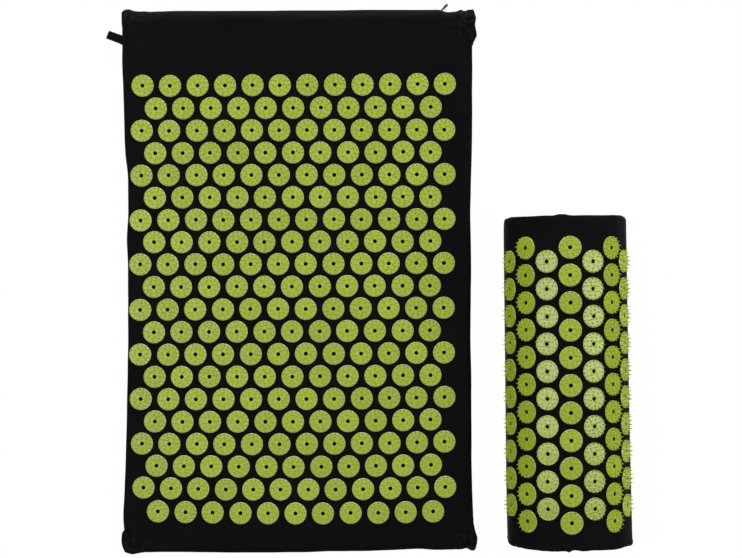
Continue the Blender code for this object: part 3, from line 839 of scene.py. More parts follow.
def cover_panel(name, profile, coarse, fine, node):
    """One cover panel as a fine grid of cloth, with a hem at the zip window. Only the top one swells."""
    is_top = profile.sign > 0
    spots, rows, columns = slab_grid(coarse, fine, profile.samples())
    points, held, painted_highlight = [], [], []
    for core_x, core_y, out_x, out_y, length in spots:
        reach, height = profile.at(length, zip_share_at(core_x, out_x, out_y))
        x, y = core_x + out_x * reach, core_y + out_y * reach
        free = free_of_rosettes(x, y) if is_top else 1
        spot = shape_cover(x, y, height, free)
        creased = corner_crumple(x, y) > 0.1 or fold_depth(spot.x, spot.y)
        if is_top and (free < 0.3 or length >= profile.roll_end or creased):
            held.append(len(points))
        points.append(spot)
        # This point's share of the painted highlight: head hem, fold lips and crumpled ridges.
        painted_highlight.append(painted_highlight_at(x, y, spot))
    faces = grid_faces(rows, columns, flip=not is_top)
    panel = add_cloth(name, points, faces, "mat", node, held, MAT_SWELL)
    panel.data.attributes.new("painted_highlight", "FLOAT", "POINT").data.foreach_set("value", painted_highlight)
    return panel


TOP_PROFILE = EdgeProfile(MAT_TOP, MAT_TOP_ROLL, MAT_SEAM + GAP / 2)
BOTTOM_PROFILE = EdgeProfile(0, MAT_BOTTOM_ROLL, MAT_SEAM - GAP / 2)


def make_mat_cover():
    top = cover_panel("mat_cover_top", TOP_PROFILE, 5.5 * MM, 1.7 * MM, "mat_top_panel")
    cover_panel("mat_cover_bottom", BOTTOM_PROFILE, 14 * MM, 4 * MM, "mat_bottom_panel")


def foam_sunk(place):
    """How much thinner the foam is under the folds, near the corners and along the sides' ends."""
    sunk = 0.3 * smooth(0.05, 0.5, corner_crumple(place.x, place.y))
    if place.y > 180 * MM or place.y < -250 * MM:
        sunk = max(sunk, 0.3 * near_edge(place.x, MAT_HALF_WIDTH, 26 * MM, 16 * MM))
    return sunk


def make_mat_foam():
    """The foam slab that fills the cover, short of the zip at the head end."""
    halves = []
    for profile in (TOP_PROFILE, BOTTOM_PROFILE):
        radial = [length for length in profile.samples() if length < profile.wall_end]
        spots, rows, columns = slab_grid(16 * MM, 8 * MM, radial + [profile.wall_end])
        points = []
        for core_x, core_y, out_x, out_y, length in spots:
            reach, height = profile.at(length, 0)
            place = shape_cover(core_x + out_x * reach, core_y + out_y * reach, height, 0)
            place.x -= out_x * FOAM_INSET
            place.y = min(place.y - out_y * FOAM_INSET, MAT_HALF_LENGTH - FOAM_ZIP_ROOM)
            place.z = MAT_SEAM + (height - MAT_SEAM) * (FOAM_FILL - foam_sunk(place))
            points.append(place)
        halves.append((points, grid_faces(rows, columns, flip=profile.sign < 0)))
    points, faces = join_solids(halves)
    foam = add_mesh("mat_foam_slab", points, faces, FOAM, "foam", "mat")
    weld = foam.modifiers.new("seam", "WELD")
    weld.merge_threshold = 0.4 * MM
    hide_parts("mat_foam_core")


# Stitches

STITCH_LENGTH = 2.3 * MM
STITCH_GAP = 0.7 * MM
STITCH_WIDTH = 0.55 * MM
# Rings of one stitch: (share of its length, size, height in widths of the thread)
STITCH_RINGS = ((0, 0.3, -0.35), (0.22, 1, 0.1), (0.5, 1.1, 0.3), (0.78, 1, 0.1), (1, 0.3, -0.35))
# The lines stop this far short of the ends of a zip's window
STITCH_MARGIN = 4 * MM


def stitch(start, end, out, width):
    """One stitch of thread lying from start to end: a bead that dips into the cloth at both ends."""
    along = (end - start).normalized()
    across = along.cross(out).normalized()
    rings = []
    for share, size, rise in STITCH_RINGS:
        centre = start.lerp(end, share) + out * rise * width
        ways = (across * math.cos(angle) + out * math.sin(angle) for angle in angles(5))
        rings.append([centre + way * width / 2 * size for way in ways])
    return tube(rings)


def add_stitches(name, stitches, slot, body):
    points, faces = join_solids(stitches)
    add_mesh(name, points, faces, THREAD, slot, body)


def stitch_row(name, line, out, body):
    """Stitches along a line of points, with the direction out of the cloth."""
    stitches = []
    travelled, wanted = 0.0, STITCH_GAP
    for start, end in zip(line, line[1:]):
        step = (end - start).length
        while wanted <= travelled + step:
            first = start.lerp(end, (wanted - travelled) / step)
            direction = (end - start).normalized()
            stitches.append(stitch(first, first + direction * STITCH_LENGTH, out, STITCH_WIDTH))
            wanted += STITCH_LENGTH + STITCH_GAP
        travelled += step
    add_stitches(name, stitches, "cotton_cover", body)


def make_mat_stitches():
    """Top stitching along both hems of the mat's zip."""
    places = even_steps(MAT_WINDOW - STITCH_MARGIN, 90)
    for name, profile, back in (("top", TOP_PROFILE, 3.2 * MM), ("bottom", BOTTOM_PROFILE, 1.4 * MM)):
        length = profile.roll_end - back
        reach, height = profile.at(length, 1)
        y = MAT_HALF_LENGTH - MAT_CORNER + reach
        turn = max(0, (length - profile.flat) / profile.roll)
        out = Vector((0, math.sin(turn), profile.sign * math.cos(turn)))
        line = [shape_cover(x, y, height, 1) for x in places]
        stitch_row(f"mat_zip_stitches_{name}", line, out, "mat")


# Rosettes


def lathe(profile, segments):
    """Points and quads of a closed turned ring whose section is a loop of (radius, height)."""
    ways = [(math.cos(angle), math.sin(angle)) for angle in angles(segments)]
    points = [(radius * x, radius * y, height) for x, y in ways for radius, height in profile]
    count = len(profile)
    faces = []
    for i in range(segments):
        here, after = i * count, (i + 1) % segments * count
        for j in range(count):
            next_j = (j + 1) % count
            faces.append((here + j, after + j, after + next_j, here + next_j))
    return points, faces


# The plate's section: (radius, height, how strong its painted highlight is)
PLATE_SECTION = (
    (HOLE_RADIUS, 0, 0.0),
    (ROSETTE_RADIUS - 0.35 * MM, 0, 0.0),
    (ROSETTE_RADIUS, 0.35 * MM, 1.0),
    (ROSETTE_RADIUS - 0.05 * MM, 0.95 * MM, 1.0),
    (ROSETTE_RADIUS - 0.75 * MM, PLATE, 1.0),
    (ROSETTE_RADIUS - 1.9 * MM, PLATE - 0.1 * MM, 0.8),
    (ROSETTE_RADIUS - 4.0 * MM, PLATE, 0.28),
    (HOLE_RADIUS + 2.8 * MM, PLATE, 0.28),
    (HOLE_RADIUS + 1.6 * MM, PLATE + 0.05 * MM, 0.65),
    (HOLE_RADIUS + 0.9 * MM, PLATE + 0.18 * MM, 0.65),
    (HOLE_RADIUS, PLATE + 0.08 * MM, 0.65),
)
PLATE_SEGMENTS = 32
# Painted shade of the plate, low in the lime's ramp
PLATE_PAINTED_SHADE = 0.25

# Circles of spikes: (count, circle radius, lean outwards, height, first angle, painted light of waist and of
# tip, higher being paler)
SPIKE_CIRCLES = (
    (15, 11.7 * MM, 1.00 * MM, 1.00 * SPIKE_HEIGHT, 0.0, 0.45, 0.7),
    (8, 7.9 * MM, 0.20 * MM, 0.92 * SPIKE_HEIGHT, 0.2, 0.60, 1.0),
    (4, 4.7 * MM, 0.05 * MM, 0.88 * SPIKE_HEIGHT, 0.5, 0.60, 1.0),
)
SPIKE_SUNK = 0.25 * MM
SPIKE_HALF_LONG = 1.5 * MM
SPIKE_HALF_WIDE = 1.1 * MM
SPIKE_SIDES = 4
# Painted highlight over the whole of each spike
SPIKE_HIGHLIGHT = 0.22


def spike(circle_radius, lean, height, angle):
    """A thorn: a base longer towards the rim, a waist and a small blunt tip."""
    levels = (
        (0.0, 1.0, PLATE - SPIKE_SUNK),
        (0.45, 0.58, PLATE + 0.45 * (height - PLATE)),
        (1.0, 0.15, height),
    )
    rings = []
    for lean_share, size, level in levels:
        ring = []
        for turn in angles(SPIKE_SIDES):
            along = circle_radius + lean * lean_share + SPIKE_HALF_LONG * size * math.cos(turn)
            across = SPIKE_HALF_WIDE * size * math.sin(turn)
            x = along * math.cos(angle) - across * math.sin(angle)
            y = along * math.sin(angle) + across * math.cos(angle)
            ring.append((x, y, level))
        rings.append(ring)
    return tube(rings)


def rosette_mesh():
    """Points, faces, painted height light and painted rim highlight shares of one rosette, its plate's
    underside at zero.
    """
    solids = [lathe([(radius, height) for radius, height, _ in PLATE_SECTION], PLATE_SEGMENTS)]
    shares = [PLATE_PAINTED_SHADE] * len(solids[0][0])
    rims = [painted_highlight for _, _, painted_highlight in PLATE_SECTION] * PLATE_SEGMENTS
    for count, radius, lean, height, first, waist, tip in SPIKE_CIRCLES:
        for angle in angles(count):
            solids.append(spike(radius, lean, height, first + angle))
            for shade in (PLATE_PAINTED_SHADE, waist, tip):
                shares += [shade] * SPIKE_SIDES
                rims += [SPIKE_HIGHLIGHT] * SPIKE_SIDES
    points, faces = join_solids(solids)
    return np.array(points), faces, np.array(shares), np.array(rims)


ROSETTE_POINTS, ROSETTE_FACES, ROSETTE_HEIGHT_LIGHT, ROSETTE_RIM_HIGHLIGHTS = rosette_mesh()


def rosette_group(name, places, body, node, seed, wear=1.0, column_shade=0.0):
    """Separate rosettes, each nudged, turned and toned a little differently, at the given matrices."""
    chance = random.Random(seed)
    points, faces, tones = [], [], []
    for place in places:
        nudge = (chance.gauss(0, ROSETTE_NUDGE), chance.gauss(0, ROSETTE_NUDGE), 0)
        turn = Matrix.Rotation(chance.uniform(0, 2 * math.pi), 4, "Z")
        matrix = np.array(place @ Matrix.Translation(nudge) @ turn)
        faces += shifted(ROSETTE_FACES, len(points) * len(ROSETTE_POINTS))
        points.append(ROSETTE_POINTS @ matrix[:3, :3].T + matrix[:3, 3])
        # Random tone per disc, plus the column's painted shade.
        tones.append(np.full(len(ROSETTE_POINTS), chance.uniform(0, 1) + column_shade))
    group = add_mesh(name, np.concatenate(points), faces, LIME, "lime_plastic", body, flat=True)
    # Painted light on the rosettes: wear scales the painted rim highlight, and each column's painted shade
    # darkens its discs.
    labels = {
        "painted_height_light": [ROSETTE_HEIGHT_LIGHT] * len(places),
        "rim_highlight": [ROSETTE_RIM_HIGHLIGHTS * wear] * len(places),
        "disc_tone": tones,
    }
    for label, values in labels.items():
        attribute = group.data.attributes.new(label, "FLOAT", "POINT")
        attribute.data.foreach_set("value", np.concatenate(values).astype(np.float32))
    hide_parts(node)


def make_mat_rosettes():
    for row, places in enumerate(MAT_ROSETTES):
        node = f"mat_rosette_row_{row + 1:02d}"
        rosette_group(f"mat_rosettes_{row + 1:02d}", places, "mat", node, 100 + row)


# How far each column of the pillow lies from its even place, in degrees round the arch
COLUMN_DRIFT = (-2.6, -0.5, -0.25, -0.1, 0.1, 0.2, 0)
# How strong each column's painted rim highlight is, and how much painted shade deepens its plastic
COLUMN_RIM_HIGHLIGHT = (0.55, 0.4, 0.85, 0.8, 0.7, 0.35, 0.5)
COLUMN_PAINTED_SHADE = (-0.4, -0.4, -0.2, -0.2, -0.8, -0.7, 0.0)


def column_angle(column):
    even = COLUMN_OFFSET + (column - (len(COLUMN_COUNTS) - 1) / 2) * COLUMN_ANGLE
    return even + math.radians(COLUMN_DRIFT[column])


def make_pillow_rosettes():
    """The pillow's columns, each rosette carried along where the cover leaves its even form."""
    for column, count in enumerate(COLUMN_COUNTS):
        seat = (
            Matrix.Rotation(COLUMN_TURN, 4, "Z")
            @ Matrix.Translation((0, COLUMN_SHIFT, PILLOW_AXIS))
            @ Matrix.Rotation(column_angle(column), 4, "Y")
            @ Matrix.Translation((0, 0, PILLOW_RADIUS + GAP))
        )
        places = []
        for i in range(count):
            even = seat @ Matrix.Translation((0, (i - (count - 1) / 2) * COLUMN_PITCH, 0))
            spot = even.translation
            push = pillow_push(spot.x, spot.y, spot.z)
            places.append(PILLOW_FRAME @ Matrix.Translation((*push, 0)) @ even)
        node = f"pillow_rosette_column_{column + 1}"
        # Each column's painted rim highlight and painted shade
        look = COLUMN_RIM_HIGHLIGHT[column], COLUMN_PAINTED_SHADE[column]
        rosette_group(f"pillow_rosettes_{column + 1}", places, "pillow", node, 200 + column, *look)


# The pillow's cover


def pillow_wall(height):
    share = height / PILLOW_WALL_TOP
    return PILLOW_HALF_BASE * (1 - share) + PILLOW_RADIUS * share


WALL_LEAN = math.atan2(PILLOW_RADIUS - PILLOW_HALF_BASE, PILLOW_WALL_TOP)


def arch_corners():
    """The pillow's section (x, z) from the right wall's foot over the top to the left one's."""
    corner_radius = PILLOW_RADIUS / math.cos(COLUMN_ANGLE / 2)
    foot = CLOTH + GAP
    corners = [(pillow_wall(foot), foot), (PILLOW_RADIUS, PILLOW_WALL_TOP)]
    for corner in range(len(COLUMN_COUNTS) + 1):
        angle = COLUMN_OFFSET + (len(COLUMN_COUNTS) / 2 - corner) * COLUMN_ANGLE
        corners.append((corner_radius * math.sin(angle), PILLOW_AXIS + corner_radius * math.cos(angle)))
    return corners + [(-PILLOW_RADIUS, PILLOW_WALL_TOP), (-pillow_wall(foot), foot)]


class ArchPath:
    """The arch as a rounded path: a point and the way out of it at any length along it."""

    def __init__(self, rounding):
        corners = [Vector(corner) for corner in arch_corners()]
        self.lengths = [0.0]
        for start, end in zip(corners, corners[1:]):
            self.lengths.append(self.lengths[-1] + (end - start).length)
        self.corners = corners
        self.end = self.lengths[-1]
        self.rounding = rounding

    def sharp(self, length):
        """The point at that length on the path with its corners left sharp."""
        length = min(max(length, 0), self.end)
        i = next(i for i, end in enumerate(self.lengths[1:]) if length <= end)
        share = (length - self.lengths[i]) / (self.lengths[i + 1] - self.lengths[i])
        return self.corners[i].lerp(self.corners[i + 1], share)

    def point(self, length):
        """The point at that length on the rounded path: a mean over the stretch round it."""
        reach = min(self.rounding, length, self.end - length)
        if reach <= 0:
            return self.sharp(length)
        shares = (-1, -0.6, -0.2, 0.2, 0.6, 1)
        total = Vector((0, 0))
        for share in shares:
            total += self.sharp(length + share * reach)
        return total / len(shares)

    def out(self, length):
        """The way out of the cloth at that length."""
        step = 0.8 * MM
        ahead, behind = self.point(min(self.end, length + step)), self.point(max(0, length - step))
        along = (ahead - behind).normalized()
        return Vector((along.y, -along.x))


ARCH = ArchPath(5 * MM)
END_ROLL = 4 * MM
WINDOW_CENTRE = (PILLOW_ZIP_HEIGHT - CLOTH - GAP) / math.cos(WALL_LEAN)
WINDOW_LOW, WINDOW_HIGH = WINDOW_CENTRE - ZIP_LIP, WINDOW_CENTRE + ZIP_LIP

# How the photographed pillow cover leaves its even form, in millimetres: (place, outward push)
PILLOW_RIGHT_LINE = ((-195, 1.2), (-191.5, 3), (-188, 2.2), (-178, 1.9), (0, -0.6), (195, -2.2))
PILLOW_LEFT_LINE = (
    (-195, -1.2), (-191, -1.5), (-187, -2.1), (-178, -1.9), (-120, -0.8), (0, -0.9), (195, -0.5),
)  # fmt: skip
PILLOW_HEAD_LINE = (
    (-75, -2.2), (-70, -0.8), (-66, 0.3), (-57.6, 0.1), (-49, 0), (-40.5, 0.1), (-32, 0.4), (-22, 0.2),
    (-13, 1.7), (-7, 1.6), (-4, 0.7), (4, 0), (13.5, 0.2), (32.6, 0.2), (42.6, 0.3), (53, 0.7), (64, 0.9),
    (70, 0.1), (75, -1.8),
)  # fmt: skip
PILLOW_FOOT_LINE = (
    (-75, 0.2), (-70, 0.7), (-61.6, 0.7), (-53, 1.2), (-44.5, 1.1), (-36, 1.45), (-27, 1.25), (-18, 0.9),
    (-12, 0.6), (-9.5, 0.6), (-6.8, 2.2), (-4.5, 1), (-3, 0), (0, -0.8), (5, 0.1), (9.5, 0.8), (18.8, 0.3),
    (28.6, 0.75), (38.6, 1.3), (49, 2.0), (60, 1.6), (68, 2.1), (72, 2.8), (75, 2.5),
)  # fmt: skip


def pillow_push(x, y, z):
    """How far the photographed cover stands from its even form at a place, sideways and lengthways."""
    side = PILLOW_RIGHT_LINE if x > 0 else PILLOW_LEFT_LINE
    end = PILLOW_HEAD_LINE if y > 0 else PILLOW_FOOT_LINE
    high = smooth(20 * MM, 45 * MM, z) if x > 0 else smooth(4 * MM, 34 * MM, z)
    push_x = follow(side, y) * x / PILLOW_RADIUS * high
    push_y = follow(end, x) * near_edge(y, PILLOW_HALF_LENGTH, 26 * MM) * high * math.copysign(1, y)
    return push_x, push_y


def shape_pillow(x, y, z):
    """Draws the pillow's cover to its photographed outline and puckers it along its end seams."""
    push_x, push_y = pillow_push(x, y, z)
    around = math.atan2(x, z - PILLOW_AXIS)
    depth, size = (1.1 * MM, 5.5 * MM) if y < 0 else (0.4 * MM, 8 * MM)
    last = 0.3 + 0.7 * near_edge(y, PILLOW_HALF_LENGTH, 14 * MM)
    pucker = depth * wave(around * 60 * MM, y, size, 31) * near_edge(y, PILLOW_HALF_LENGTH, 26 * MM) * last
    out_x = x + push_x + math.sin(around) * pucker
    out_y = y + push_y + math.copysign(0.4 * pucker, y)
    return Vector((out_x, out_y, z + math.cos(around) * pucker * smooth(1 * MM, 12 * MM, z)))


def pillow_lines(step):
    """Lines along the pillow's top, up from the right wall's foot and on from the zip's window.

    Each is (length along the arch, depth inside it, length that it goes back to beside the window).
    """
    low = [(WINDOW_LOW * share, 0.0, WINDOW_LOW * share) for share in (0, 0.35, 0.7, 1)]
    hems = ((WINDOW_LOW, HEM / 2), (WINDOW_LOW, HEM), (WINDOW_HIGH, HEM), (WINDOW_HIGH, HEM / 2))
    for (length, depth), share in zip(hems, (0.1, 0.35, 0.65, 0.9)):
        low.append((length, depth, WINDOW_LOW + 2 * ZIP_LIP * share))
    rest = ARCH.end - WINDOW_HIGH
    count = round(rest / step)
    lengths = [WINDOW_HIGH + rest * i / count for i in range(count + 1)]
    return low, [(length, 0.0, length) for length in lengths]


def pillow_rows():
    """Places along the pillow and how far each is past the start of the end roll."""
    core = PILLOW_HALF_LENGTH - END_ROLL
    window = [PILLOW_WINDOW - 1 * MM, PILLOW_WINDOW + 1 * MM]
    inner = even_steps(core, 92)
    inner = [y for y in inner if all(abs(abs(y) - stop) > 1.5 * MM for stop in window)]
    inner += window + [-stop for stop in window]
    turns = [math.pi / 2 * (i + 1) / 6 for i in range(6)]
    before, after = [(-core, -turn) for turn in reversed(turns)], [(core, turn) for turn in turns]
    return before + [(y, 0.0) for y in sorted(inner)] + after


def arch_length(angle):
    """The length along the arch where it lies at that angle round the pillow's axis."""
    lengths = [ARCH.end * i / 599 for i in range(600)]

    def miss(length):
        spot = ARCH.point(length)
        return abs(math.atan2(spot.x, spot.y - PILLOW_AXIS) - angle)

    return min(lengths, key=miss)


def pillow_surface(length, y, turn, depth=0.0):
    """A point of the cover: by length along the arch, place along the pillow and turn over the end roll."""
    section, out = ARCH.point(length), ARCH.out(length)
    inset = END_ROLL * (1 - math.cos(turn)) + depth
    along = y + math.copysign(END_ROLL * math.sin(abs(turn)), y)
    spot = section - out * inset
    return shape_pillow(spot.x, along, spot.y)


def make_pillow_top():
    """The arch of cloth from wall foot to wall foot, with a hemmed window for the zip."""
    low, high = pillow_lines(2.2 * MM)
    rows = pillow_rows()
    centres = []
    for column, count in enumerate(COLUMN_COUNTS):
        length = arch_length(column_angle(column))
        centres += [(length, COLUMN_SHIFT + (i - (count - 1) / 2) * COLUMN_PITCH) for i in range(count)]
    centres = np.array(centres)
    points, held = [], []
    for window_length, window_depth, beside in low + high:
        for y, turn in rows:
            open_here = abs(y) <= PILLOW_WINDOW and not turn
            length, depth = (window_length, window_depth) if open_here else (beside, 0.0)
            nearest = np.hypot(centres[:, 0] - length, centres[:, 1] - y).min()
            wall = length < 30 * MM or length > ARCH.end - 6 * MM
            if nearest < 12.5 * MM or wall or abs(turn) > 0.8:
                held.append(len(points))
            points.append(pillow_surface(length, y, turn, depth))
    faces = []
    row_count = len(rows)
    window_line = next(i for i, line in enumerate(low) if line[1] == HEM)
    for i in range(len(low + high) - 1):
        for j in range(row_count - 1):
            inside = max(abs(rows[j][0]), abs(rows[j + 1][0])) < PILLOW_WINDOW
            if i == window_line and inside:
                continue
            a = i * row_count + j
            faces.append((a, a + 1, a + row_count + 1, a + row_count))
    points = transformed(points, PILLOW_FRAME)
    top = add_cloth("pillow_cover_top", points, faces, "pillow", "pillow_top_panel", held, PILLOW_SWELL)


def make_pillow_end(name, side, node):
    """A half-round end panel, slightly domed by the filling, gathered into its seam."""
    rings = 12
    centre, dome_rise = Vector((0, 42 * MM)), 1.6 * MM
    seam_y = side * (PILLOW_HALF_LENGTH - 0.9 * MM)
    lengths = [ARCH.end * i / 96 for i in range(97)]
    arch = [ARCH.point(length) - ARCH.out(length) * (END_ROLL - 0.6 * MM) for length in lengths]
    floor = [arch[-1].lerp(arch[0], (i + 1) / 25) for i in range(24)]
    outline = [Vector((spot.x, max(spot.y, CLOTH + 0.6 * MM))) for spot in arch + floor]
    points = []
    for ring in range(rings):
        share = ring / rings
        dome = dome_rise * (1 - (1 - share) ** 2)
        for i, spot in enumerate(outline):
            at = spot.lerp(centre, share)
            pucker = 0.45 * MM * wave(i * 1.1 * MM, 0, 3.2 * MM, 17 + side) * (1 - share) ** 4
            place = shape_pillow(at.x, side * PILLOW_HALF_LENGTH, at.y)
            shift = place - Vector((at.x, side * PILLOW_HALF_LENGTH, at.y))
            level = seam_y + side * (dome + pucker)
            points.append(Vector((at.x, level, at.y)) + shift * (1 - share) ** 0.5)
    points.append(Vector((centre.x, seam_y + side * dome_rise, centre.y)))
    total = len(outline)
    last = (rings - 1) * total
    faces = band_faces(rings, total)
    faces += [(last + i, last + (i + 1) % total, len(points) - 1) for i in range(total)]
    add_cloth(name, transformed(points, PILLOW_FRAME), flipped(faces, side > 0), "pillow", node)


def make_pillow_base():
    """The flat panel under the pillow, turned up a little at its seams."""
    half_x, half_y, seam = PILLOW_HALF_BASE, PILLOW_HALF_LENGTH - 1.2 * MM, 3 * MM
    across, along = even_steps(half_x, 30), even_steps(half_y, 70)
    points = []
    for x in across:
        for y in along:
            edge = max(near_edge(x, half_x, seam), near_edge(y, half_y, seam))
            points.append((x, y, 0.9 * MM * edge + 0.05 * MM))
    points = transformed(points, PILLOW_FRAME)
    faces = grid_faces(len(across), len(along), flip=True)
    add_cloth("pillow_cover_base", points, faces, "pillow", "pillow_base_panel")


def make_pillow_foam():
    """The half-round foam inside the pillow's cover, hollowed behind the zip."""
    inset, hollow = 1.9, 6.6
    section = []
    for i in range(91):
        length = ARCH.end * i / 90
        behind_zip = 1 - smooth(WINDOW_HIGH + 1 * MM, WINDOW_HIGH + 7 * MM, length)
        spot = ARCH.point(length) - ARCH.out(length) * (inset + hollow * behind_zip) * MM
        section.append((spot.x, max(spot.y, 2.2 * MM)))
    rings = []
    for y in even_steps(PILLOW_HALF_LENGTH - 2.2 * MM, 30):
        rings.append([PILLOW_FRAME @ shape_pillow(x, y, z) for x, z in reversed(section)])
    foam = add_mesh("pillow_foam_half_round", *tube(rings), FOAM, "foam", "pillow")
    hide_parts("pillow_foam_core")


def make_pillow_stitches():
    """Top stitching along both hems of the pillow's zip."""
    places = even_steps(PILLOW_WINDOW - STITCH_MARGIN, 60)
    back = 2.6 * MM
    for name, length in (("lower", WINDOW_LOW - back), ("upper", WINDOW_HIGH + back)):
        out = ARCH.out(length)
        line = [PILLOW_FRAME @ pillow_surface(length, y, 0) for y in places]
        way = PILLOW_FRAME.to_3x3() @ Vector((out.x, 0, out.y))
        stitch_row(f"pillow_zip_stitches_{name}", line, way, "pillow")


# Zips. Each is built along X, with Y out of the cloth and Z across the zip

# Rings of a tooth in millimetres: (place across the zip, half its size along the zip, half its height)
TOOTH_RINGS = ((2.4, 0.22, 0.35), (1.1, 0.24, 0.45), (-0.2, 0.42, 0.5), (-0.75, 0.24, 0.3))
CHAIN_FOOT = -ZIP_RECESS + 0.15 * MM
CORD_PLACE = 1.55 * MM
CORD_HEIGHT = -ZIP_RECESS + 0.85 * MM
CORD_RADIUS = 0.32 * MM


def tooth(x, side):
    """One nylon tooth: a bar from the tape's edge with a head past the middle."""
    middle = (CHAIN_FOOT + (CHAIN_PROUD - ZIP_RECESS)) / 2
    rings = []
    for across, half_x, half_y in TOOTH_RINGS:
        ring = [(x + i * half_x * MM, middle + j * half_y * MM, side * across * MM) for i, j in SQUARE]
        rings.append(facing(ring, side))
    return tube(rings)


def cord(half, z):
    """One of the thin cords that hold the teeth, from end to end of the chain."""
    ways = [(math.cos(angle) * CORD_RADIUS, math.sin(angle) * CORD_RADIUS) for angle in angles(6)]
    return tube([[(x, CORD_HEIGHT + y, z + across) for y, across in ways] for x in (-half, half)])


def make_tape(name, matrix, half, side, edge_at, body, node):
    """One woven tape: flat beside the teeth, meeting its twin past the stops, folded out to its edge."""
    stop_end = half - TAPE_TAIL
    beside, meeting = stop_end + GAP, stop_end + 4 * GAP
    places = [x for x in even_steps(half, 90) if not beside - MM < abs(x) < meeting + MM]
    places += [beside, meeting, -beside, -meeting]
    flat, back = -ZIP_RECESS, -ZIP_RECESS - CLOTH
    inner, outer = 4.9 * MM, 5.6 * MM
    rings = []
    for x in sorted(places):
        edge = edge_at(x)
        near = CHAIN_HALF_WIDTH + GAP if abs(x) <= beside else GAP / 2
        section = [
            (back, near),
            (flat, near),
            (flat, inner - 0.8 * MM),
            (flat + 0.12 * MM, inner - 0.35 * MM),
            (flat + 0.5 * MM, inner - 0.08 * MM),
            (flat + 1.1 * MM, inner),
            (edge, inner),
            (edge, outer),
            (back + 0.5 * MM, outer),
            (back, outer - 0.5 * MM),
        ]
        rings.append(facing([(x, y, side * z) for y, z in section], side))
    tape = add_solids(name, [tube(rings)], matrix, TAPE, "zip_tape", body)
    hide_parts(node)


def make_chain(prefix, matrix, half, body):
    """The closed row of teeth with the cords that hold them and the band behind them."""
    count = int(2 * half / TOOTH_PITCH)
    solids = [tooth(-half + (i + 0.5) * 2 * half / count, 1 if i % 2 else -1) for i in range(count)]
    solids += [cord(half, -CORD_PLACE), cord(half, CORD_PLACE)]
    back, wide = -ZIP_RECESS - CLOTH + 0.1 * MM, CHAIN_HALF_WIDTH
    band = ((back, -wide), (back, wide), (CHAIN_FOOT, wide), (CHAIN_FOOT, -wide))
    solids.append(tube([[(x, y, z) for y, z in band] for x in (-half, half)]))
    chain = add_solids(prefix + "_teeth", solids, matrix, COIL, "zip_coil", body)
    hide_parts(prefix + "_chain")


def make_stop(name, matrix, inner, outer, body, node):
    """A pressed metal clamp over the end of the chain, with a dent along its middle."""
    base, top = -ZIP_RECESS - CLOTH, STOP_PROUD - ZIP_RECESS
    section = (
        (base, -2.4 * MM), (top - 0.7 * MM, -2.4 * MM), (top, -1.7 * MM), (top, -0.7 * MM),
        (top - 0.35 * MM, 0), (top, 0.7 * MM), (top, 1.7 * MM), (top - 0.7 * MM, 2.4 * MM), (base, 2.4 * MM),
    )  # fmt: skip
    low, high = min(inner, outer), max(inner, outer)
    rings = []
    for x, size in ((low, 0.9), (low + 0.3 * MM, 1), (high - 0.3 * MM, 1), (high, 0.9)):
        rings.append([(x, base + (y - base) * size, z * size) for y, z in section])
    stop = add_solids(name, [tube(rings)], matrix, PAINTED, "zip_metal", body)
    soften(stop, 0.15 * MM)
    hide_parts(node)


def squared(value, power):
    """A sine or cosine pressed towards 1 and -1, which squares up the round that it draws."""
    return math.copysign(abs(value) ** power, value)


def slider_plate():
    """The shield-shaped plate over the chain, its upper edge rounded."""
    face = SLIDER_FACE
    outline = []
    for angle in angles(28):
        along, across = squared(math.cos(angle), 0.45), squared(math.sin(angle), 0.55)
        share = (along + 1) / 2
        half = SLIDER_NOSE_HALF * (1 - share) + SLIDER_TAIL_HALF * share
        outline.append((along * SLIDER_HALF, across * half))
    rings = []
    for height, shrink in ((CHAIN_PROUD + GAP, 0.0), (face - 0.25 * MM, 0.0), (face, 0.35 * MM)):
        size_x, size_z = 1 - shrink / SLIDER_HALF, 1 - shrink / SLIDER_NOSE_HALF
        rings.append([(x * size_x, height, z * size_z) for x, z in reversed(outline)])
    return tube(rings)


def slider_flange(side):
    """The wall down one side of the chain."""
    low, high, inner = GAP, CHAIN_PROUD + 0.5 * MM, CHAIN_HALF_WIDTH + GAP
    end = SLIDER_HALF - 0.3 * MM
    rings = []
    for x, outer in ((-end, 4.0 * MM), (-1.5 * MM, 4.15 * MM), (end, 3.45 * MM)):
        section = ((low, inner), (low, outer), (high, outer), (high, inner))
        rings.append(facing([(x, y, side * z) for y, z in section], side))
    return tube(rings)


def slider_bridge():
    """The arch over the plate that holds the pull, sunk a little into the plate."""
    steps, sunk, wide = 14, 0.2 * MM, Vector((0, 0, 0.8 * MM))
    arch = []
    for i in range(steps + 1):
        angle = math.pi * i / steps
        along = -squared(math.cos(angle), 0.5) * (BRIDGE_HALF - BRIDGE_BAR / 2)
        rise = (BRIDGE_OPENING + BRIDGE_BAR / 2 + sunk) * math.sin(angle) ** 0.6
        arch.append(Vector((along, SLIDER_FACE - sunk + rise, 0)))
    rings = []
    for i, spot in enumerate(arch):
        way = (arch[min(steps, i + 1)] - arch[max(0, i - 1)]).normalized()
        up = Vector((-way.y, way.x, 0)) * BRIDGE_BAR / 2
        rings.append([spot - up - wide, spot + up - wide, spot + up + wide, spot - up + wide])
    return tube(rings)


def make_slider(prefix, carriage, body):
    """A die-cast slider: a plate over the chain, a flange down each side and the bridge for the pull."""
    solids = [slider_plate(), slider_flange(-1), slider_flange(1), slider_bridge()]
    slider = add_solids(prefix + "_slider_cast", solids, carriage, PAINTED, "zip_metal", body)
    soften(slider, 0.18 * MM)
    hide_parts(prefix + "_slider")


def closed_spline(curve, points):
    spline = curve.splines.new("POLY")
    spline.points.add(len(points) - 1)
    for spot, (x, y) in zip(spline.points, points):
        spot.co = (x, y, 0, 1)
    spline.use_cyclic_u = True


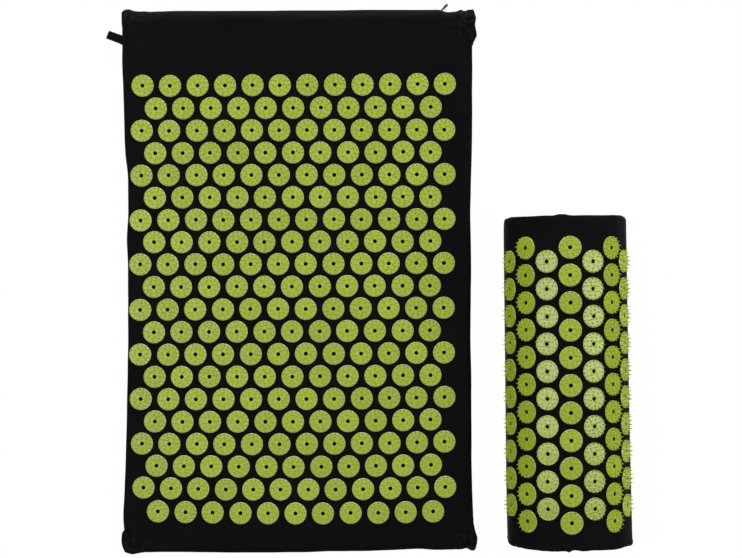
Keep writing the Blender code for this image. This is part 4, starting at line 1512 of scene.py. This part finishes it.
def rounded(corners, radius):
    """A polygon, given in millimetres, with its corners rounded."""
    points = [(x * MM, y * MM) for x, y in corners]
    result = []
    count = len(points)
    for i in range(count):
        before, corner, after = (Vector(points[(i + k) % count]) for k in (-1, 0, 1))
        one, two = before - corner, after - corner
        reach = min(radius, one.length / 2, two.length / 2)
        start, end = corner + one.normalized() * reach, corner + two.normalized() * reach
        for share in (0, 0.25, 0.5, 0.75, 1):
            result.append(start.lerp(corner, share).lerp(corner.lerp(end, share), share))
    return result


# The pull's outline and its slot round the bridge, in millimetres: (along, across)
PULL_OUTLINE = (
    (-0.8, -2.3), (3.9, -2.4), (5.6, -1.9), (7.2, -2.5), (11.2, -2.4), (13, -1.5),
    (13, 1.5), (11.2, 2.4), (7.2, 2.5), (5.6, 1.9), (3.9, 2.4), (-0.8, 2.3),
)  # fmt: skip
PULL_SLOT = ((0.8, 1.15), (3.6, 1.15), (3.6, -1.15), (0.8, -1.15))
PULL_HOLE = 11.0 * MM
PULL_HOLE_RADIUS = 0.8 * MM
PULL_BEVEL = 0.28 * MM


def pull_mesh(prefix):
    """The pull's plate, lying along X, thicker towards its grip."""
    curve = bpy.data.curves.new(prefix + "_pull_plate", "CURVE")
    curve.dimensions = "2D"
    curve.fill_mode = "BOTH"
    curve.extrude = 0.52 * MM
    curve.bevel_depth = PULL_BEVEL
    curve.bevel_resolution = 2
    curve.offset = -PULL_BEVEL
    closed_spline(curve, rounded(PULL_OUTLINE, 0.9 * MM))
    closed_spline(curve, rounded(PULL_SLOT, 0.5 * MM))
    ways = [(math.cos(angle), -math.sin(angle)) for angle in angles(16)]
    closed_spline(curve, [(PULL_HOLE + PULL_HOLE_RADIUS * x, PULL_HOLE_RADIUS * y) for x, y in ways])
    plate = link_object(prefix + "_pull_curve", curve)
    mesh = bpy.data.meshes.new_from_object(plate.evaluated_get(bpy.context.evaluated_depsgraph_get()))
    bpy.data.objects.remove(plate)
    for vertex in mesh.vertices:
        vertex.co.z *= 1 + 0.75 * smooth(4.4 * MM, 7.6 * MM, vertex.co.x)
    return mesh


def pull_rib(x, side):
    """A small ridge across the grip, at x along it."""
    foot, top, half = side * 1.3 * MM, side * 1.55 * MM, 0.25 * MM
    ring = ((x - half, foot, -1.7 * MM), (x + half, foot, -1.7 * MM), (x, top, -1.5 * MM))
    return tube([ring, [(a, b, -c) for a, b, c in ring]])


def make_pull(prefix, carriage, rest_turn, body):
    """The pull tab: a slot round the bridge, a waist, a drilled grip with ribs across it."""
    place = carriage @ Matrix.Translation((0, PULL_AXIS, 0)) @ Matrix.Rotation(rest_turn, 4, "Z")
    mesh = pull_mesh(prefix)
    mesh.transform(place @ Matrix.Rotation(math.pi / 2, 4, "X"))
    pull = add_piece(prefix + "_pull_tab", mesh, PULL_METAL, body)
    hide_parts(prefix + "_pull")
    ribs = [pull_rib(x, side) for x in (7.4 * MM, 8.2 * MM, 9.0 * MM) for side in (-1, 1)]
    add_solids(prefix + "_pull_ribs", ribs, place, PULL_METAL, "pull_metal", body)


def mat_tape_edge(x):
    """How far out the mat's tapes reach: just under the hem, and further in where the window closes."""
    past = smooth(MAT_WINDOW - 2 * MM, MAT_WINDOW + 1 * MM, abs(x))
    return min(-3.2 * MM, follow(HEAD_LINE, x) - MAT_HALF_LENGTH - 0.9 * MM) - 1.5 * MM * past


def pillow_tape_edge(_):
    """How far out the pillow's tapes reach, the same all along."""
    return -1.2 * MM


def dress_zip(prefix, matrix, chain_half, rest_turn, body, edge_at):
    """Tapes, teeth, stops, slider and pull of one closed zip along the matrix's X, facing its +Y."""
    inner = chain_half + GAP
    outer = inner + STOP_LENGTH
    for label, side in (("upper", 1), ("lower", -1)):
        node = f"{prefix}_{label}_tape"
        make_tape(f"{prefix}_woven_tape_{label}", matrix, outer + TAPE_TAIL, side, edge_at, body, node)
    make_chain(prefix, matrix, chain_half, body)
    for label, end in (("start", -1), ("end", 1)):
        node = f"{prefix}_stop_{label}"
        make_stop(f"{prefix}_clamp_{label}", matrix, end * inner, end * outer, body, node)
    carriage = matrix @ Matrix.Translation((chain_half - SLIDER_HALF, -ZIP_RECESS, 0))
    make_slider(prefix, carriage, prefix + "_slider")
    make_pull(prefix, carriage, rest_turn, prefix + "_pull")


# The webbing tab

TAB_ROOT = Vector((-214.172 * MM, 290.6 * MM, MAT_SEAM))
TAB_LENGTH = 18.6 * MM
TAB_NARROWING = 0.94
TAB_SLANT = math.radians(21)
TAB_HALF = 1.0 * MM


def tab_place(along, across, height):
    """A point of the tab: along it from the seam, across it, and height over its middle."""
    share = along / TAB_LENGTH
    start = Vector((0, across / math.cos(TAB_SLANT), 0))
    way = Vector((-math.cos(TAB_SLANT), math.sin(TAB_SLANT), 0))
    side = Vector((math.sin(TAB_SLANT), math.cos(TAB_SLANT), 0))
    droop = Vector((0, 0, -1.1 * MM * share**2))
    end = way * TAB_LENGTH + side * across * TAB_NARROWING
    return TAB_ROOT + start.lerp(end, share) + droop + Vector((0, 0, height))


# Places along and across the tab, in millimetres
TAB_STATIONS = (0, 2.5, 5, 7.5, 10, 12.5, 14.5, 16, 17.2)
TAB_WIDTHS = (-4.8, -4.5, -3.1, -1.6, 0, 1.6, 3.1, 4.5, 4.8)
TAB_INSIDE = -2.5


def tab_loop():
    """The folded webbing from the side, a little hollow between its ends: (along, height) in millimetres."""
    upper = [(along, 1.0 - 0.18 * math.sin(math.pi * along / 17.5)) for along in TAB_STATIONS]
    bend = [(17.6 + 0.9 * math.sin(math.pi * i / 6), math.cos(math.pi * i / 6)) for i in range(1, 6)]
    lower = [(along, -height) for along, height in reversed(upper)]
    return [(TAB_INSIDE, TAB_HALF / MM)] + upper + bend + lower + [(TAB_INSIDE, -TAB_HALF / MM)]


def make_tab():
    """Black webbing folded back on itself, stitched across where it enters the seam."""
    loop = tab_loop()
    points = []
    for along, height in loop:
        for across in TAB_WIDTHS:
            edge = 0.75 if abs(across) == max(TAB_WIDTHS) else 1
            fray = 0.12 * MM * wave(along * MM, across * MM, 2.2 * MM, 5)
            points.append(tab_place(along * MM, across * MM + fray, height * MM * edge))
    faces = grid_faces(len(loop), len(TAB_WIDTHS))
    tab = add_mesh("side_tab_webbing", points, faces, WEBBING, "webbing", None)
    thicken(tab, 0.75 * MM)
    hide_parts("mat_side_tab")
    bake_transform(tab)
    seams = []
    for along in (3.0 * MM, 5.2 * MM):
        for height in (TAB_HALF, -TAB_HALF):
            out = Vector((0, 0, math.copysign(1, height)))
            for i in range(4):
                first = -4 * MM + i * 2.1 * MM
                start, end = tab_place(along, first, height), tab_place(along, first + 1.6 * MM, height)
                seams.append(stitch(start, end, out, 0.5 * MM))
    add_stitches("side_tab_stitches", seams, "webbing", "side_tab")


make_mat_cover()
make_mat_foam()
make_mat_stitches()
make_mat_rosettes()
MAT_ZIP = Matrix.Translation((0, MAT_HALF_LENGTH, MAT_SEAM))
dress_zip("mat_zip", MAT_ZIP, MAT_CHAIN_HALF, math.radians(45), "mat", mat_tape_edge)
make_tab()
make_pillow_top()
make_pillow_end("pillow_cover_head_end", 1, "pillow_head_end_panel")
make_pillow_end("pillow_cover_foot_end", -1, "pillow_foot_end_panel")
make_pillow_base()
make_pillow_foam()
make_pillow_stitches()
make_pillow_rosettes()
PILLOW_ZIP = (
    PILLOW_FRAME
    @ Matrix.Translation((pillow_wall(PILLOW_ZIP_HEIGHT), 0, PILLOW_ZIP_HEIGHT))
    @ Matrix.Rotation(-math.pi / 2, 4, "Z")
    @ Matrix.Rotation(-WALL_LEAN, 4, "X")
)
dress_zip("pillow_zip", PILLOW_ZIP, PILLOW_CHAIN_HALF, math.radians(175), "pillow", pillow_tape_edge)


# Camera, floor and light

SET_MIDDLE = 87 * MM
CAMERA_PLACE = (SET_MIDDLE, 1.5 * MM, 2.2)
CAMERA_REACH = 50
FOCAL_PIXELS = 1809.5
IMAGE_WIDTH = 742
SENSOR = 36
FLOOR_HALF = 30
FLOOR_DROP = 0.2 * MM
FLOOR_GLOW = 0.985


def make_camera():
    """A camera straight above the set, with the photograph's width of view."""
    data = bpy.data.cameras.new("camera")
    data.sensor_width = SENSOR
    data.lens = FOCAL_PIXELS / IMAGE_WIDTH * SENSOR
    data.clip_end = CAMERA_REACH
    camera = link_object("camera", data)
    camera.location = CAMERA_PLACE
    bpy.context.scene.camera = camera


def make_floor():
    """A white floor that shows white to the camera and in gloss, with a trace of the object's shadow."""
    nodes = Nodes("floor_white")
    nodes.finish(Base_Color=(0.80, 0.80, 0.80, 1), Roughness=0.95)
    glow = nodes.add("ShaderNodeEmission", {"Color": (1, 1, 1, 1), "Strength": 1.0})
    path = nodes.add("ShaderNodeLightPath").outputs
    seen = nodes.math("MAXIMUM", path["Is Camera Ray"], path["Is Transmission Ray"])
    seen = nodes.math("MAXIMUM", seen, path["Is Glossy Ray"])
    share = nodes.math("MULTIPLY", seen, FLOOR_GLOW)
    mix = nodes.add("ShaderNodeMixShader", {0: share, 1: nodes.shader.outputs[0], 2: glow.outputs[0]})
    nodes.set(nodes.tree.nodes["Material Output"], "Surface", mix.outputs[0])
    mesh = bpy.data.meshes.new("floor")
    mesh.from_pydata([(x * FLOOR_HALF, y * FLOOR_HALF, 0) for x, y in SQUARE], [], [(0, 1, 2, 3)])
    mesh.materials.append(nodes.material)
    floor = link_object("floor", mesh)
    floor.location.z = -FLOOR_DROP


def make_world():
    """A plain, even glow from all round."""
    world = bpy.data.worlds.new("studio")
    bpy.context.scene.world = world
    world.use_nodes = True
    background = world.node_tree.nodes["Background"]
    background.inputs["Color"].default_value = (1, 1, 1, 1)
    background.inputs["Strength"].default_value = 0.30


def add_softbox(name, place, size, power):
    """A soft panel lamp aimed at the middle of the set."""
    data = bpy.data.lights.new(name, "AREA")
    data.shape = "RECTANGLE"
    data.size, data.size_y = size
    data.energy = power
    lamp = link_object(name, data)
    lamp.location = place
    aim = Vector((SET_MIDDLE, 0, 0)) - Vector(place)
    lamp.rotation_euler = aim.to_track_quat("-Z", "Y").to_euler()


make_camera()
make_floor()
make_world()
add_softbox("softbox_left", (-1.45, -0.1, 2.3), (0.7, 1.5), 28)
add_softbox("softbox_right", (2.5, -0.1, 2.1), (0.8, 2.2), 44)
add_softbox("softbox_head", (0.1, 2.3, 1.1), (2.4, 0.8), 45)
bpy.context.scene.view_settings.view_transform = "Standard"
